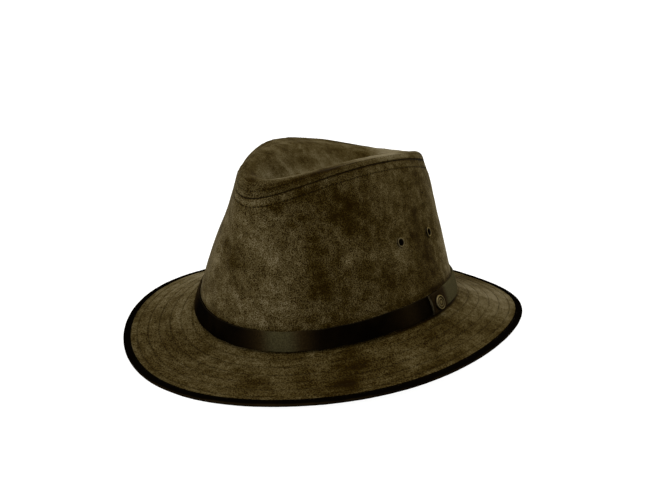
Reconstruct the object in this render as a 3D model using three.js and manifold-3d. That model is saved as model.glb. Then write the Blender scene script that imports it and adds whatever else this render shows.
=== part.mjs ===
// A drover hat of suede that rests on its brim.
// Millimetres, +Z up. The front faces -Y and the wearer's left is +X.

import * as THREE from 'three';
import { mergeVertices } from 'three/addons/utils/BufferGeometryUtils.js';
import Module from 'manifold-3d';

const wasm = await Module();
wasm.setup();

// ---------- driving dimensions ----------

// The rings that shape the hat. front, side and back are heights above the surface that the hat
// rests on. taper narrows a ring at the front and shift moves it back. twist raises its left front
// and right back, and wave lifts and drops it by turns, four times round.
const rings = {
  foot: { halfLength: 102, halfWidth: 89.5, front: 15.8, side: 27.6, back: 20.4 },
  seam: { halfLength: 92.3, halfWidth: 48.3, taper: 0.22, front: 117.2, side: 130.1, back: 105.4 },
  ridge: {
    halfLength: 83.8, halfWidth: 37.5, taper: 0.2, shift: -0.2, front: 128.7, side: 132.2, back: 115.4,
    twist: -1.3,
  },
  valley: { halfLength: 52, halfWidth: 0, shift: -2, front: 113, side: 111, back: 102 },
  rim: { halfLength: 159.7, halfWidth: 134.1, front: 1.2, side: 11.7, back: 1.2, twist: -1.2, wave: 1.3 },
};

const rimRest = 1.2;         // the rim's middle is level at this height where the hat rests
const brimSag = 1.7;         // how far the brim hangs below a straight line from foot to rim

const crownThickness = 1.6;
const brimThickness = 1.3;
const wallLift = 1.3;        // the side wall starts this far up from the brim
const seamGap = 0.3;
const pieceGap = 0.3;        // the gap kept between neighbouring pieces

// Soft hollows in the crown's side, each made on the left and on the right. Where the depth is
// below 0, the side swells out.
const pinches = [
  { angle: 52, spread: 17, rise: 0.82, height: 0.25, depth: 1 },
  { angle: 50, spread: 25, rise: 0.42, height: 0.32, depth: -1.7 },
  { angle: 130, spread: 24, rise: 0.82, height: 0.34, depth: -1.7 },
];

const binding = { reach: 4.2, thickness: 0.6, gap: 0.25, nose: 1.1 };

const band = {
  width: 13.6,
  thickness: 1.5,
  lift: 0.6,                 // from the brim up to the strap's lower edge
  endAngle: 87.2,             // where the upper layer of the lap ends, from the front
  lap: 17.2,                 // length of the two layers
  ramp: 10,                  // length over which the upper layer comes down to the crown
  endCurl: 0.8,              // how far the loose end stands out
  curlReach: 3,              // length over which it does
  endHollow: 1.8,            // how far the middle of the loose end is cut back
};

const stud = {
  radius: 5.2,
  height: 1.9,
  postRadius: 1.4,
  fromEnd: 11.2,             // from the upper layer's end back to the stud's middle
  drop: 1,                   // how far the stud sits below the middle of the strap
};

const eyelet = { rise: 0.498, holeRadius: 2.4, barrelRadius: 2.7, flangeRadius: 3.4, flangeHeight: 0.6 };
const eyeletAngles = { front: 84, rear: 106 };

const stations = 64;         // steps round the hat
const roundSteps = 14;       // steps round an eyelet
const studSteps = 28;

const degree = Math.PI / 180;

// ---------- the hat's surfaces ----------

// A point of a ring. The angle runs from the front towards the wearer's left.
function ringPoint(ring, angle) {
  const { taper = 0, shift = 0, twist = 0, wave = 0 } = ring;
  const forward = Math.cos(angle);
  const ends = (ring.front + ring.back) / 2;
  const x = ring.halfWidth * Math.sin(angle) * (1 - taper * forward);
  const y = shift - ring.halfLength * forward;
  const tilt = (ring.front - ring.back) / 2;
  const saddle = (ends - ring.side) / 2;
  const z = (ends + ring.side) / 2 + tilt * forward + saddle * Math.cos(2 * angle);
  return new THREE.Vector3(x, y, z + twist * Math.sin(2 * angle) + wave * Math.sin(4 * angle));
}

function rimPoint(angle) {
  const point = ringPoint(rings.rim, angle);
  point.z = Math.max(rimRest, point.z);
  return point;
}

// The depth of the pinched hollows at a place on the crown's side.
function pinchDepth(angle, rise) {
  const fromFront = Math.abs(Math.atan2(Math.sin(angle), Math.cos(angle)));
  let depth = 0;
  for (const pinch of pinches) {
    const across = (fromFront - pinch.angle * degree) / (pinch.spread * degree);
    const up = (rise - pinch.rise) / pinch.height;
    depth += pinch.depth * Math.exp(-across * across - up * up);
  }
  return depth;
}

// The outer face of the crown's side. rise is 0 at the foot and 1 at the seam.
function sidePoint(angle, rise) {
  const point = ringPoint(rings.foot, angle).lerp(ringPoint(rings.seam, angle), rise);
  const outward = new THREE.Vector3(point.x, point.y, 0).normalize();
  return point.addScaledVector(outward, -pinchDepth(angle, rise) * Math.min(1, 10 * (1 - rise)));
}

function sideNormal(angle, rise) {
  const step = 0.002;
  const along = sidePoint(angle + step, rise).sub(sidePoint(angle - step, rise));
  const up = sidePoint(angle, rise + step).sub(sidePoint(angle, rise - step));
  return along.cross(up).normalize();
}

function wallLength(angle) {
  return ringPoint(rings.foot, angle).distanceTo(ringPoint(rings.seam, angle));
}

// The face of the crown's top, from the seam (0) over the ridge (0.5) to the valley (1).
function tipPoint(angle, travel) {
  const foot = ringPoint(rings.foot, angle);
  const seam = ringPoint(rings.seam, angle);
  const ridge = ringPoint(rings.ridge, angle);
  const valley = ringPoint(rings.valley, angle);
  const upWall = seam.clone().sub(foot).normalize();
  const start = seam.addScaledVector(upWall, seamGap);
  const inward = valley.clone().sub(ridge).setZ(0).normalize();
  const shoulder = start.distanceTo(ridge);
  const slope = ridge.distanceTo(valley);
  if (travel <= 0.5) {
    const overRidge = ridge.clone().addScaledVector(inward, -0.45 * shoulder);
    const offSeam = start.clone().addScaledVector(upWall, 0.55 * shoulder);
    return new THREE.CubicBezierCurve3(start, offSeam, overRidge, ridge).getPoint(2 * travel);
  }
  const offRidge = ridge.clone().addScaledVector(inward, 0.35 * slope);
  const toValley = valley.clone().addScaledVector(inward, -0.35 * slope);
  return new THREE.CubicBezierCurve3(ridge, offRidge, toValley, valley).getPoint(2 * travel - 1);
}

// The brim's upper face, from the rim (0) in to the inside of the crown's wall (1).
function brimPoint(angle, inward) {
  const foot = ringPoint(rings.foot, angle);
  const rim = rimPoint(angle);
  rim.z += brimThickness / 2;
  const outward = new THREE.Vector3(foot.x, foot.y, 0).normalize();
  const point = rim.lerp(foot, inward);
  point.z -= 4 * brimSag * inward * (1 - inward);
  return point.addScaledVector(outward, -crownThickness * inward);
}

// ---------- making solids ----------

function merged(geometry) {
  geometry.deleteAttribute('normal');
  geometry.deleteAttribute('uv');
  return mergeVertices(geometry, 1e-4);
}

// An open sheet, ringed round the hat, from a list of travels and a function of angle and travel.
function ringedSheet(pointAt, travels) {
  const points = [];
  const triangles = [];
  for (const travel of travels) {
    for (let i = 0; i < stations; i += 1) {
      points.push(...pointAt((i / stations) * 2 * Math.PI, travel));
    }
  }
  for (let j = 0; j + 1 < travels.length; j += 1) {
    for (let i = 0; i < stations; i += 1) {
      const here = j * stations + i;
      const next = j * stations + ((i + 1) % stations);
      triangles.push(here, next, next + stations, here, next + stations, here + stations);
    }
  }
  const sheet = new THREE.BufferGeometry();
  sheet.setAttribute('position', new THREE.Float32BufferAttribute(points, 3));
  sheet.setIndex(triangles);
  return mergeVertices(sheet, 1e-4);
}

// Makes a closed wall of a sheet: the face stays, and the thickness goes to its back.
function thickened(sheet, thickness) {
  sheet.computeVertexNormals();
  const face = sheet.getAttribute('position');
  const normals = sheet.getAttribute('normal');
  const front = [];
  const back = [];
  for (let i = 0; i < face.count; i += 1) {
    const point = new THREE.Vector3().fromBufferAttribute(face, i);
    const normal = new THREE.Vector3().fromBufferAttribute(normals, i);
    front.push(...point);
    back.push(...point.addScaledVector(normal, -thickness));
  }
  const corners = Array.from(sheet.index.array);
  const triangles = [];
  const edges = new Set();
  for (let i = 0; i < corners.length; i += 3) {
    const [a, b, c] = corners.slice(i, i + 3);
    if (a === b || b === c || c === a) {
      continue;
    }
    triangles.push(a, b, c, a + face.count, c + face.count, b + face.count);
    edges.add(`${a} ${b}`).add(`${b} ${c}`).add(`${c} ${a}`);
  }
  for (const edge of edges) {
    const [a, b] = edge.split(' ').map(Number);
    if (!edges.has(`${b} ${a}`)) {
      triangles.push(b, a, a + face.count, b, a + face.count, b + face.count);
    }
  }
  const wall = new THREE.BufferGeometry();
  wall.setAttribute('position', new THREE.Float32BufferAttribute([...front, ...back], 3));
  wall.setIndex(triangles);
  return wall;
}

// Joins a row of closed sections. An open row gets a cap on each end.
function lofted(sections, joined) {
  const size = sections[0].length;
  const last = sections.length - 1;
  const triangles = [];
  for (let i = 0; i < (joined ? sections.length : last); i += 1) {
    const here = i * size;
    const next = ((i + 1) % sections.length) * size;
    for (let j = 0; j < size; j += 1) {
      const up = (j + 1) % size;
      triangles.push(here + j, next + j, next + up, here + j, next + up, here + up);
    }
  }
  for (let j = 1; j + 1 < size && !joined; j += 1) {
    triangles.push(0, j, j + 1);
    triangles.push(last * size, last * size + j + 1, last * size + j);
  }
  const solid = new THREE.BufferGeometry();
  solid.setAttribute('position', new THREE.Float32BufferAttribute(sections.flat().flatMap((p) => [...p]), 3));
  solid.setIndex(triangles);
  return solid;
}

function toManifold(geometry) {
  const vertProperties = new Float32Array(geometry.getAttribute('position').array);
  const triVerts = new Uint32Array(geometry.index.array);
  return new wasm.Manifold(new wasm.Mesh({ numProp: 3, vertProperties, triVerts }));
}

function cutFrom(geometry, tools) {
  let solid = toManifold(geometry);
  for (const tool of tools) {
    solid = solid.subtract(toManifold(tool));
  }
  const mesh = solid.getMesh();
  const result = new THREE.BufferGeometry();
  result.setAttribute('position', new THREE.Float32BufferAttribute(mesh.vertProperties, 3));
  result.setIndex(Array.from(mesh.triVerts));
  return result;
}

// Turns a shape made round +Y to stand on a point, along a direction.
function placed(geometry, point, direction) {
  const turn = new THREE.Quaternion().setFromUnitVectors(new THREE.Vector3(0, 1, 0), direction);
  return geometry.applyQuaternion(turn).translate(point.x, point.y, point.z);
}

function drill(radius, length, point, direction) {
  return placed(merged(new THREE.CylinderGeometry(radius, radius, length, roundSteps)), point, direction);
}

function evenSteps(from, to, count) {
  return Array.from({ length: count + 1 }, (_, i) => from + ((to - from) * i) / count);
}

// ---------- the pieces ----------

// The places of the four eyelets, on the left and on the right.
const eyeletPlaces = [];
for (const [place, degrees] of Object.entries(eyeletAngles)) {
  for (const [side, sign] of [['left', 1], ['right', -1]]) {
    const angle = sign * degrees * degree;
    eyeletPlaces.push({
      name: `eyelet_${side}_${place}`,
      point: sidePoint(angle, eyelet.rise),
      normal: sideNormal(angle, eyelet.rise),
    });
  }
}

function crownSide() {
  const start = wallLift / wallLength(Math.PI / 2);
  const wall = thickened(ringedSheet(sidePoint, evenSteps(start, 1, 7)), crownThickness);
  const holeRadius = eyelet.barrelRadius + pieceGap;
  return cutFrom(wall, eyeletPlaces.map((place) => drill(holeRadius, 12, place.point, place.normal)));
}

function crownTip() {
  const travels = [0, 0.03, ...evenSteps(0.125, 0.5, 3), ...evenSteps(0.5, 1, 4).slice(1)];
  return thickened(ringedSheet(tipPoint, travels), crownThickness);
}

function brim() {
  return thickened(ringedSheet(brimPoint, evenSteps(0, 1, 4)), brimThickness);
}

// The edging folds over the rim. Its lower corner is flat on the surface where the hat rests.
function brimBinding() {
  const inner = brimThickness / 2 + binding.gap;
  const outer = inner + binding.thickness;
  const reach = -binding.reach;
  const profile = [
    [reach, -outer], [-0.8, -outer], [0.5, -0.8 * outer], [binding.nose, -0.3 * outer],
    [binding.nose, 0.3 * outer], [0.5, 0.8 * outer], [-0.8, outer], [reach, outer],
    [reach, inner], [binding.gap, inner], [binding.gap, -inner], [reach, -inner],
  ];
  const sections = evenSteps(0, 2 * Math.PI, stations).slice(0, -1).map((angle) => {
    const rim = rimPoint(angle);
    const slope = rim.clone().sub(brimPoint(angle, 0.25)).setZ(0).normalize();
    slope.z = (brimPoint(angle, 0).z - brimPoint(angle, 0.25).z)
      / Math.hypot(...brimPoint(angle, 0).sub(brimPoint(angle, 0.25)).setZ(0));
    slope.normalize();
    const along = rimPoint(angle + 0.01).sub(rimPoint(angle - 0.01));
    const normal = slope.clone().cross(along).normalize();
    return profile.map(([out, up]) => {
      const point = rim.clone().addScaledVector(slope, out).addScaledVector(normal, up);
      point.z = Math.max(point.z, 0);
      return point;
    });
  });
  return lofted(sections, true);
}

const bandRadius = rings.foot.halfLength;
const studAngle = band.endAngle * degree + stud.fromEnd / bandRadius;
const studHeight = band.lift + band.width / 2 - stud.drop;

// How far the strap's back is from the crown, by the distance from its loose end.
function bandOffset(distance) {
  const layer = band.thickness + pieceGap;
  const down = THREE.MathUtils.smoothstep(distance, band.lap + 1, band.lap + 1 + band.ramp);
  const curl = band.endCurl * (1 - THREE.MathUtils.smoothstep(distance, 0, band.curlReach));
  return pieceGap + layer * (1 - down) + curl;
}

function bandPoint(angle, height, outward) {
  const rise = height / wallLength(angle);
  return sidePoint(angle, rise).addScaledVector(sideNormal(angle, rise), outward);
}

// The strap starts at its loose end, goes back round the crown and ends under its own start.
function hatband() {
  const heights = evenSteps(band.lift, band.lift + band.width, 2);
  const whole = 2 * Math.PI + band.lap / bandRadius;
  const lapZone = (band.lap + 1 + band.ramp) / bandRadius;
  const turns = [...evenSteps(0, lapZone, 16), ...evenSteps(lapZone, whole, stations).slice(1)];
  const sections = turns.map((turned, i) => {
    const column = (height, j, outer) => {
      const cutBack = i === 0 && j === 1 ? band.endHollow / bandRadius : 0;
      const angle = band.endAngle * degree + turned + cutBack;
      const offset = bandOffset((turned + cutBack) * bandRadius);
      return bandPoint(angle, height, offset + (outer ? band.thickness : 0));
    };
    const face = heights.map((height, j) => column(height, j, true));
    const back = heights.map((height, j) => column(height, j, false)).reverse();
    return [...face, ...back];
  });
  const hole = drill(
    stud.postRadius + pieceGap, 16, bandPoint(studAngle, studHeight, 0), sideNormal(studAngle, 0.1),
  );
  return cutFrom(lofted(sections, false), [hole]);
}

// A low round stud with a raised rim, a groove, a plain boss and a post through the strap.
function bandStud() {
  const { radius, height, postRadius } = stud;
  const reach = 2 * (band.thickness + pieceGap);
  const outline = [
    [0, -reach], [postRadius, -reach], [postRadius, 0], [radius, 0], [radius, 0.55 * height],
    [0.93 * radius, 0.95 * height], [0.82 * radius, height], [0.7 * radius, 0.7 * height],
    [0.6 * radius, 0.62 * height], [0.54 * radius, 0.8 * height], [0.3 * radius, 0.9 * height],
    [0, 0.92 * height],
  ].map(([r, h]) => new THREE.Vector2(r, h));
  const layers = 2 * band.thickness + 3 * pieceGap;
  const seat = bandPoint(studAngle, studHeight, layers);
  return placed(merged(new THREE.LatheGeometry(outline, studSteps)), seat, sideNormal(studAngle, 0.1));
}

// A tube through the wall with a rolled flange on each face.
function eyeletRing(place) {
  const { holeRadius, barrelRadius, flangeRadius, flangeHeight } = eyelet;
  const backFace = -crownThickness - pieceGap;
  const outline = [
    [holeRadius, backFace - 0.5], [barrelRadius, backFace - 0.7], [flangeRadius, backFace - 0.5],
    [flangeRadius, backFace], [barrelRadius, backFace], [barrelRadius, pieceGap],
    [flangeRadius, pieceGap], [flangeRadius, pieceGap + 0.3], [barrelRadius + 0.3, pieceGap + flangeHeight],
    [holeRadius, pieceGap + 0.3], [holeRadius, backFace - 0.5],
  ].map(([r, h]) => new THREE.Vector2(r, h));
  const ring = merged(new THREE.LatheGeometry(outline, roundSteps));
  return placed(ring, place.point, place.normal);
}

// ---------- the assembly ----------

const suede = new THREE.MeshStandardMaterial({ color: 0x4a4028, roughness: 0.92, metalness: 0 });
const tipSuede = new THREE.MeshStandardMaterial({ color: 0x4d432b, roughness: 0.92, metalness: 0 });
const brimSuede = new THREE.MeshStandardMaterial({ color: 0x463c26, roughness: 0.92, metalness: 0 });
const bindingLeather = new THREE.MeshStandardMaterial({ color: 0x1c140b, roughness: 0.6, metalness: 0 });
const strapLeather = new THREE.MeshStandardMaterial({ color: 0x21190f, roughness: 0.45, metalness: 0 });
const brass = new THREE.MeshStandardMaterial({ color: 0x8a7a52, roughness: 0.4, metalness: 1 });

const hat = new THREE.Group();

function add(name, geometry, material) {
  const mesh = new THREE.Mesh(geometry, material);
  mesh.name = name;
  hat.add(mesh);
}

add('crown_side', crownSide(), suede);
add('crown_tip', crownTip(), tipSuede);
add('brim', brim(), brimSuede);
add('brim_binding', brimBinding(), bindingLeather);
add('hatband', hatband(), strapLeather);
add('band_stud', bandStud(), brass);
for (const place of eyeletPlaces) {
  add(place.name, eyeletRing(place), brass);
}

export default hat;
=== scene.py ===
import math
import bmesh
import bpy
import numpy as np
from mathutils import Matrix, Vector


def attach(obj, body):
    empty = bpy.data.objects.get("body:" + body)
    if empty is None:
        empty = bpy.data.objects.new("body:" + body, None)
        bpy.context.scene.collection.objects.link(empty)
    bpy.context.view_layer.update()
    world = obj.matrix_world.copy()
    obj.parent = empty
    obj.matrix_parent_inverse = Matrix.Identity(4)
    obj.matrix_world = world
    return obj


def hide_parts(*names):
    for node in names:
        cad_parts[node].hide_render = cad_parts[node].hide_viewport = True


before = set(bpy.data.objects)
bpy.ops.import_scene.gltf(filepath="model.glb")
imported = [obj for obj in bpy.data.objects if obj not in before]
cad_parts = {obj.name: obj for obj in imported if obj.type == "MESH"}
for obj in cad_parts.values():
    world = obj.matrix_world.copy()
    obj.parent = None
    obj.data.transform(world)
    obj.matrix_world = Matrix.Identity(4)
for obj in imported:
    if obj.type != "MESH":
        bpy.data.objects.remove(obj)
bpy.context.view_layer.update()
print("frame loaded with", len(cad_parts), "nodes")

mm = 0.001
degree = math.pi / 180
wholeTurn = 2 * math.pi
hatBody = "root"
scene = bpy.context.scene


# One output of a node. Python's operators on it add Math nodes.
class Wire:
    def __init__(self, board, socket):
        self.board = board
        self.socket = socket

    def maths(self, operation, *values):
        return self.board.add("ShaderNodeMath", {"operation": operation}, dict(enumerate(values)))

    def __add__(self, other):
        return self.maths("ADD", self, other)

    def __radd__(self, other):
        return self.maths("ADD", other, self)

    def __sub__(self, other):
        return self.maths("SUBTRACT", self, other)

    def __rsub__(self, other):
        return self.maths("SUBTRACT", other, self)

    def __mul__(self, other):
        return self.maths("MULTIPLY", self, other)

    def __rmul__(self, other):
        return self.maths("MULTIPLY", other, self)

    def __truediv__(self, other):
        return self.maths("DIVIDE", self, other)

    def __rtruediv__(self, other):
        return self.maths("DIVIDE", other, self)

    def __pow__(self, other):
        return self.maths("POWER", self, other)

    def __neg__(self):
        return self.maths("MULTIPLY", self, -1)


# A node tree, for a material, the world or a modifier.
class Board:
    def __init__(self, tree):
        self.tree = tree

    def add(self, kind, settings=None, values=None, output=0):
        node = self.tree.nodes.new(kind)
        for name, setting in (settings or {}).items():
            if name == "stops":
                self.setStops(node.color_ramp, setting)
            else:
                setattr(node, name, setting)
        for name, value in (values or {}).items():
            if isinstance(value, Wire):
                self.tree.links.new(value.socket, node.inputs[name])
            else:
                node.inputs[name].default_value = value
        return Wire(self, node.outputs[output]) if node.outputs else None

    def setStops(self, ramp, stops):
        while len(ramp.elements) < len(stops):
            ramp.elements.new(0.5)
        for element, (place, colour) in zip(ramp.elements, stops):
            element.position = place
            element.color = (*colour, 1)

    def vector(self, x, y, z):
        return self.add("ShaderNodeCombineXYZ", None, {"X": x, "Y": y, "Z": z})

    def parts(self, vector):
        node = self.add("ShaderNodeSeparateXYZ", None, {0: vector}).socket.node
        return [Wire(self, output) for output in node.outputs]

    def shifted(self, vector, offset, share):
        return self.add("ShaderNodeVectorMath", {"operation": "MULTIPLY_ADD"},
                        {0: offset, 1: (share, share, share), 2: vector})

    def noise(self, vector, scale, detail=3.0, roughness=0.55, output="Fac"):
        return self.add("ShaderNodeTexNoise", None, {
            "Vector": vector, "Scale": scale, "Detail": detail, "Roughness": roughness}, output)

    def ramped(self, value, low, high, start=0.0, end=1.0):
        return self.add("ShaderNodeMapRange", {"interpolation_type": "SMOOTHSTEP"}, {
            "Value": value, "From Min": low, "From Max": high, "To Min": start, "To Max": end})

    def blended(self, share, first, second):
        return self.add("ShaderNodeMix", {"data_type": "RGBA"}, {0: share, 6: first, 7: second}, output=2)

    def attribute(self, name, output="Fac"):
        return self.add("ShaderNodeAttribute", {"attribute_name": name}, None, output)

    def objectPlace(self):
        return self.add("ShaderNodeTexCoord", None, None, "Object")

    def scaled(self, vector, sizes):
        return self.add("ShaderNodeVectorMath", {"operation": "MULTIPLY"}, {0: vector, 1: sizes})

    def pebbles(self, vector, scale, smoothness):
        return self.add("ShaderNodeTexVoronoi", {"feature": "SMOOTH_F1"},
                        {"Vector": vector, "Scale": scale, "Smoothness": smoothness}, "Distance")

    def bump(self, height, strength, distance):
        return self.add("ShaderNodeBump", None, {
            "Strength": strength, "Distance": distance, "Height": height})


# The same rules shape plain numbers, arrays and wires.
def eitherWay(value, operation, plain):
    return value.maths(operation, value) if isinstance(value, Wire) else plain(value)


def cosOf(value):
    return eitherWay(value, "COSINE", np.cos)


def sinOf(value):
    return eitherWay(value, "SINE", np.sin)


def rootOf(value):
    return eitherWay(value, "SQRT", np.sqrt)


def sizeOf(value):
    return eitherWay(value, "ABSOLUTE", np.abs)


def roundedOff(value):
    return eitherWay(value, "ROUND", np.round)


def bell(value):
    return eitherWay(-(value * value), "EXPONENT", np.exp)


def larger(value, other):
    return value.maths("MAXIMUM", value, other) if isinstance(value, Wire) else np.maximum(value, other)


def smaller(value, other):
    return value.maths("MINIMUM", value, other) if isinstance(value, Wire) else np.minimum(value, other)


def between(start, end, share):
    return tuple(a + (b - a) * share for a, b in zip(start, end))


# The hat's own measures. A ring is an oval with its own height at the front, side and back; taper
# narrows it at the front, shift moves it back, and twist and wave bend it up and down as it goes round.
# Angles run from the front to the wearer's left.
rings = {
    "foot": {"halfLength": 102 * mm, "halfWidth": 89.5 * mm,
             "front": 15.8 * mm, "side": 27.6 * mm, "back": 20.4 * mm},
    "seam": {"halfLength": 92.3 * mm, "halfWidth": 48.3 * mm, "taper": 0.22,
             "front": 117.2 * mm, "side": 130.1 * mm, "back": 105.4 * mm},
    "ridge": {"halfLength": 83.8 * mm, "halfWidth": 37.5 * mm, "taper": 0.2, "shift": -0.2 * mm,
              "front": 128.7 * mm, "side": 132.2 * mm, "back": 115.4 * mm, "twist": -1.3 * mm},
    "valley": {"halfLength": 52 * mm, "halfWidth": 0, "shift": -2 * mm,
               "front": 113 * mm, "side": 111 * mm, "back": 102 * mm},
}

brimSizes = {
    "halfLength": 159.7 * mm, "halfWidth": 134.1 * mm,
    "front": 1.2 * mm, "side": 11.7 * mm, "back": 1.2 * mm,
    "twist": -1.2 * mm, "wave": 1.3 * mm,
    "rest": 1.2 * mm,        # the rim is level at this height where the hat rests
    "sag": 1.7 * mm,
    "thickness": 1.3 * mm,
    "wallThickness": 1.6 * mm,
    "stitchRows": 6,
    "firstRow": 8.8 * mm,    # from the rim in to the outermost row
    "rowStep": 8.2 * mm,     # from row to row where the brim is widest
    "grooveDepth": 0.13 * mm,
    "grooveWidth": 0.55 * mm,
    "puff": 0.22 * mm,       # how far the cloth rises between the rows
    "puffReach": 2.4 * mm,
    "pucker": 0.16 * mm,     # and how the stitches ruffle it
    "puckerScale": 210.0,
    "puckerReach": 2.2 * mm,
    "swell": 0.6 * mm,       # slow waves in the cloth
    "swellScale": 38.0,
    "rimFade": 2 * mm,       # all of it fades out this near the rim
    "stations": 640,
    "topRows": 126,
    "underRows": 28,
}


def ringAt(ring, angle):
    forward = cosOf(angle)
    ends = (ring["front"] + ring["back"]) / 2
    tilt = (ring["front"] - ring["back"]) / 2
    saddle = (ends - ring["side"]) / 2
    x = ring["halfWidth"] * sinOf(angle) * (1 - ring.get("taper", 0) * forward)
    y = ring.get("shift", 0) - ring["halfLength"] * forward
    z = (ends + ring["side"]) / 2 + tilt * forward + saddle * cosOf(2 * angle)
    return x, y, z + ring.get("twist", 0) * sinOf(2 * angle) + ring.get("wave", 0) * sinOf(4 * angle)


def rimAt(angle, sizes):
    x, y, z = ringAt(sizes, angle)
    return x, y, larger(z, sizes["rest"])


# The brim's upper face, from the rim (0) in to the inside of the crown's wall (1).
def brimAt(angle, inward, sizes):
    foot = ringAt(rings["foot"], angle)
    x, y, z = rimAt(angle, sizes)
    x, y, z = between((x, y, z + sizes["thickness"] / 2), foot, inward)
    reach = rootOf(foot[0] * foot[0] + foot[1] * foot[1])
    pull = sizes["wallThickness"] * inward / reach
    return x - foot[0] * pull, y - foot[1] * pull, z - 4 * sizes["sag"] * inward * (1 - inward)


def brimWidthAt(angle, sizes):
    foot = ringAt(rings["foot"], angle)
    rim = rimAt(angle, sizes)
    squares = [(a - b) * (a - b) for a, b in zip(foot, rim)]
    return rootOf(squares[0] + squares[1] + squares[2])


def rowSpacingAt(width, sizes):
    return sizes["rowStep"] * rootOf(width / (57 * mm))


def stacked(point):
    return np.stack(np.broadcast_arrays(*point), axis=-1)


def unit(vectors):
    return vectors / np.maximum(np.linalg.norm(vectors, axis=-1, keepdims=True), 1e-9)


def level(vectors):
    return unit(vectors * (1, 1, 0))


# The turn from one angle to another, the short way round.
def turnBetween(angle, other):
    return np.arctan2(np.sin(angle - other), np.cos(angle - other))


def smoothstep(value, low, high):
    share = np.clip((value - low) / (high - low), 0, 1)
    return share * share * (3 - 2 * share)


# Soft hollows in the crown's side, each made on the left and on the right. Where the depth is
# below 0, the side swells out.
pinches = [
    {"angle": 52, "spread": 17, "rise": 0.82, "height": 0.25, "depth": 1 * mm},
    {"angle": 50, "spread": 25, "rise": 0.42, "height": 0.32, "depth": -1.7 * mm},
    {"angle": 130, "spread": 24, "rise": 0.82, "height": 0.34, "depth": -1.7 * mm},
]


def sideAt(angle, rise):
    point = stacked(between(ringAt(rings["foot"], angle), ringAt(rings["seam"], angle), rise))
    fromFront = np.abs(turnBetween(angle, 0))
    depth = 0
    for pinch in pinches:
        across = (fromFront - pinch["angle"] * degree) / (pinch["spread"] * degree)
        depth = depth + pinch["depth"] * bell(across) * bell((rise - pinch["rise"]) / pinch["height"])
    return point - level(point) * (depth * np.minimum(1, 10 * (1 - rise)))[..., None]


def sideNormal(angle, rise):
    step = 0.002
    along = sideAt(angle + step, rise) - sideAt(angle - step, rise)
    return unit(np.cross(along, sideAt(angle, rise + step) - sideAt(angle, rise - step)))


def wallLengthAt(angle):
    foot = stacked(ringAt(rings["foot"], angle))
    return np.linalg.norm(stacked(ringAt(rings["seam"], angle)) - foot, axis=-1)


def bezier(a, b, c, d, share):
    share = share[..., None]
    left = 1 - share
    return a * left**3 + 3 * b * share * left**2 + 3 * c * share**2 * left + d * share**3


# The crown's top, from the seam (0) over the ridge (0.5) to the valley (1).
def tipAt(angle, travel):
    foot, seam, ridge, valley = [stacked(ringAt(rings[name], angle))
                                 for name in ("foot", "seam", "ridge", "valley")]
    upWall = unit(seam - foot)
    start = seam + upWall * 0.3 * mm
    inward = level(valley - ridge)
    shoulder = np.linalg.norm(start - ridge, axis=-1, keepdims=True)
    slope = np.linalg.norm(ridge - valley, axis=-1, keepdims=True)
    outer = bezier(start, start + upWall * 0.55 * shoulder, ridge - inward * 0.45 * shoulder,
                   ridge, np.minimum(2 * travel, 1))
    inner = bezier(ridge, ridge + inward * 0.35 * slope, valley - inward * 0.35 * slope,
                   valley, np.maximum(2 * travel - 1, 0))
    return np.where((travel <= 0.5)[..., None], outer, inner)


# Turns a distance from the seam into a travel of the crown's top, at each angle.
def tipTravelAt(angles, distance):
    samples = np.linspace(0, 1, 161)
    spots = tipAt(angles[None, :], np.repeat(samples[:, None], len(angles), axis=1))
    steps = np.linalg.norm(np.diff(spots, axis=0), axis=-1)
    lengths = np.vstack([np.zeros(len(angles)), np.cumsum(steps, axis=0)])
    return np.array([np.interp(distance, lengths[:, i], samples) for i in range(len(angles))])


# Gentle unevenness that joins up round the hat.
def waves(angle, climb, seed, count, turns, climbs):
    dice = np.random.default_rng(seed)
    total = 0
    for _ in range(count):
        total = total + np.cos(dice.integers(*turns) * angle + dice.uniform(-climbs, climbs) * climb
                               + dice.uniform(0, wholeTurn))
    return total / math.sqrt(count)


# Adds up soft spots. Each has an angle, a climb, its half sizes in both, a lean and a strength, which
# for a tone is above 0 where it is paler and below 0 where it is darker: own colour, painted light and
# shade.
def toneAt(angle, climb, places):
    total = 0
    for place, height, halfAngle, halfHeight, lean, strength in places:
        away = turnBetween(angle, (place + lean * (climb - height)) * degree) / (halfAngle * degree)
        total = total + strength * bell(away) * bell((climb - height) / halfHeight)
    return total


def gridNormals(points):
    along = np.roll(points, -1, axis=1) - np.roll(points, 1, axis=1)
    normals = np.cross(along, np.gradient(points, axis=0))
    flat = np.linalg.norm(normals, axis=-1) < 1e-14
    normals[flat] = (0, 0, 1)
    return unit(normals)


# Faces of a grid whose columns run round the hat. A closed one joins its last row to its first.
def gridFaces(rows, columns, closed):
    here = np.arange(rows * columns).reshape(rows, columns)
    if closed:
        here = np.vstack([here, here[:1]])
    beside = np.roll(here, -1, axis=1)
    quads = np.stack([here[:-1], beside[:-1], beside[1:], here[1:]], axis=-1)
    return quads.reshape(-1, 4).tolist()


def linked(name, mesh):
    piece = bpy.data.objects.new(name, mesh)
    scene.collection.objects.link(piece)
    return piece


def paint(mesh, name, kind, values):
    layer = mesh.attributes.new(name, kind, "POINT")
    layer.data.foreach_set("vector" if kind == "FLOAT_VECTOR" else "value",
                           np.asarray(values, np.float32).ravel())


def cleaned(mesh):
    work = bmesh.new()
    work.from_mesh(mesh)
    bmesh.ops.remove_doubles(work, verts=work.verts, dist=1e-6)
    bmesh.ops.dissolve_degenerate(work, edges=work.edges, dist=1e-7)
    bmesh.ops.recalc_face_normals(work, faces=work.faces)
    for face in work.faces:
        face.smooth = True
    work.to_mesh(mesh)
    work.free()


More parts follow.
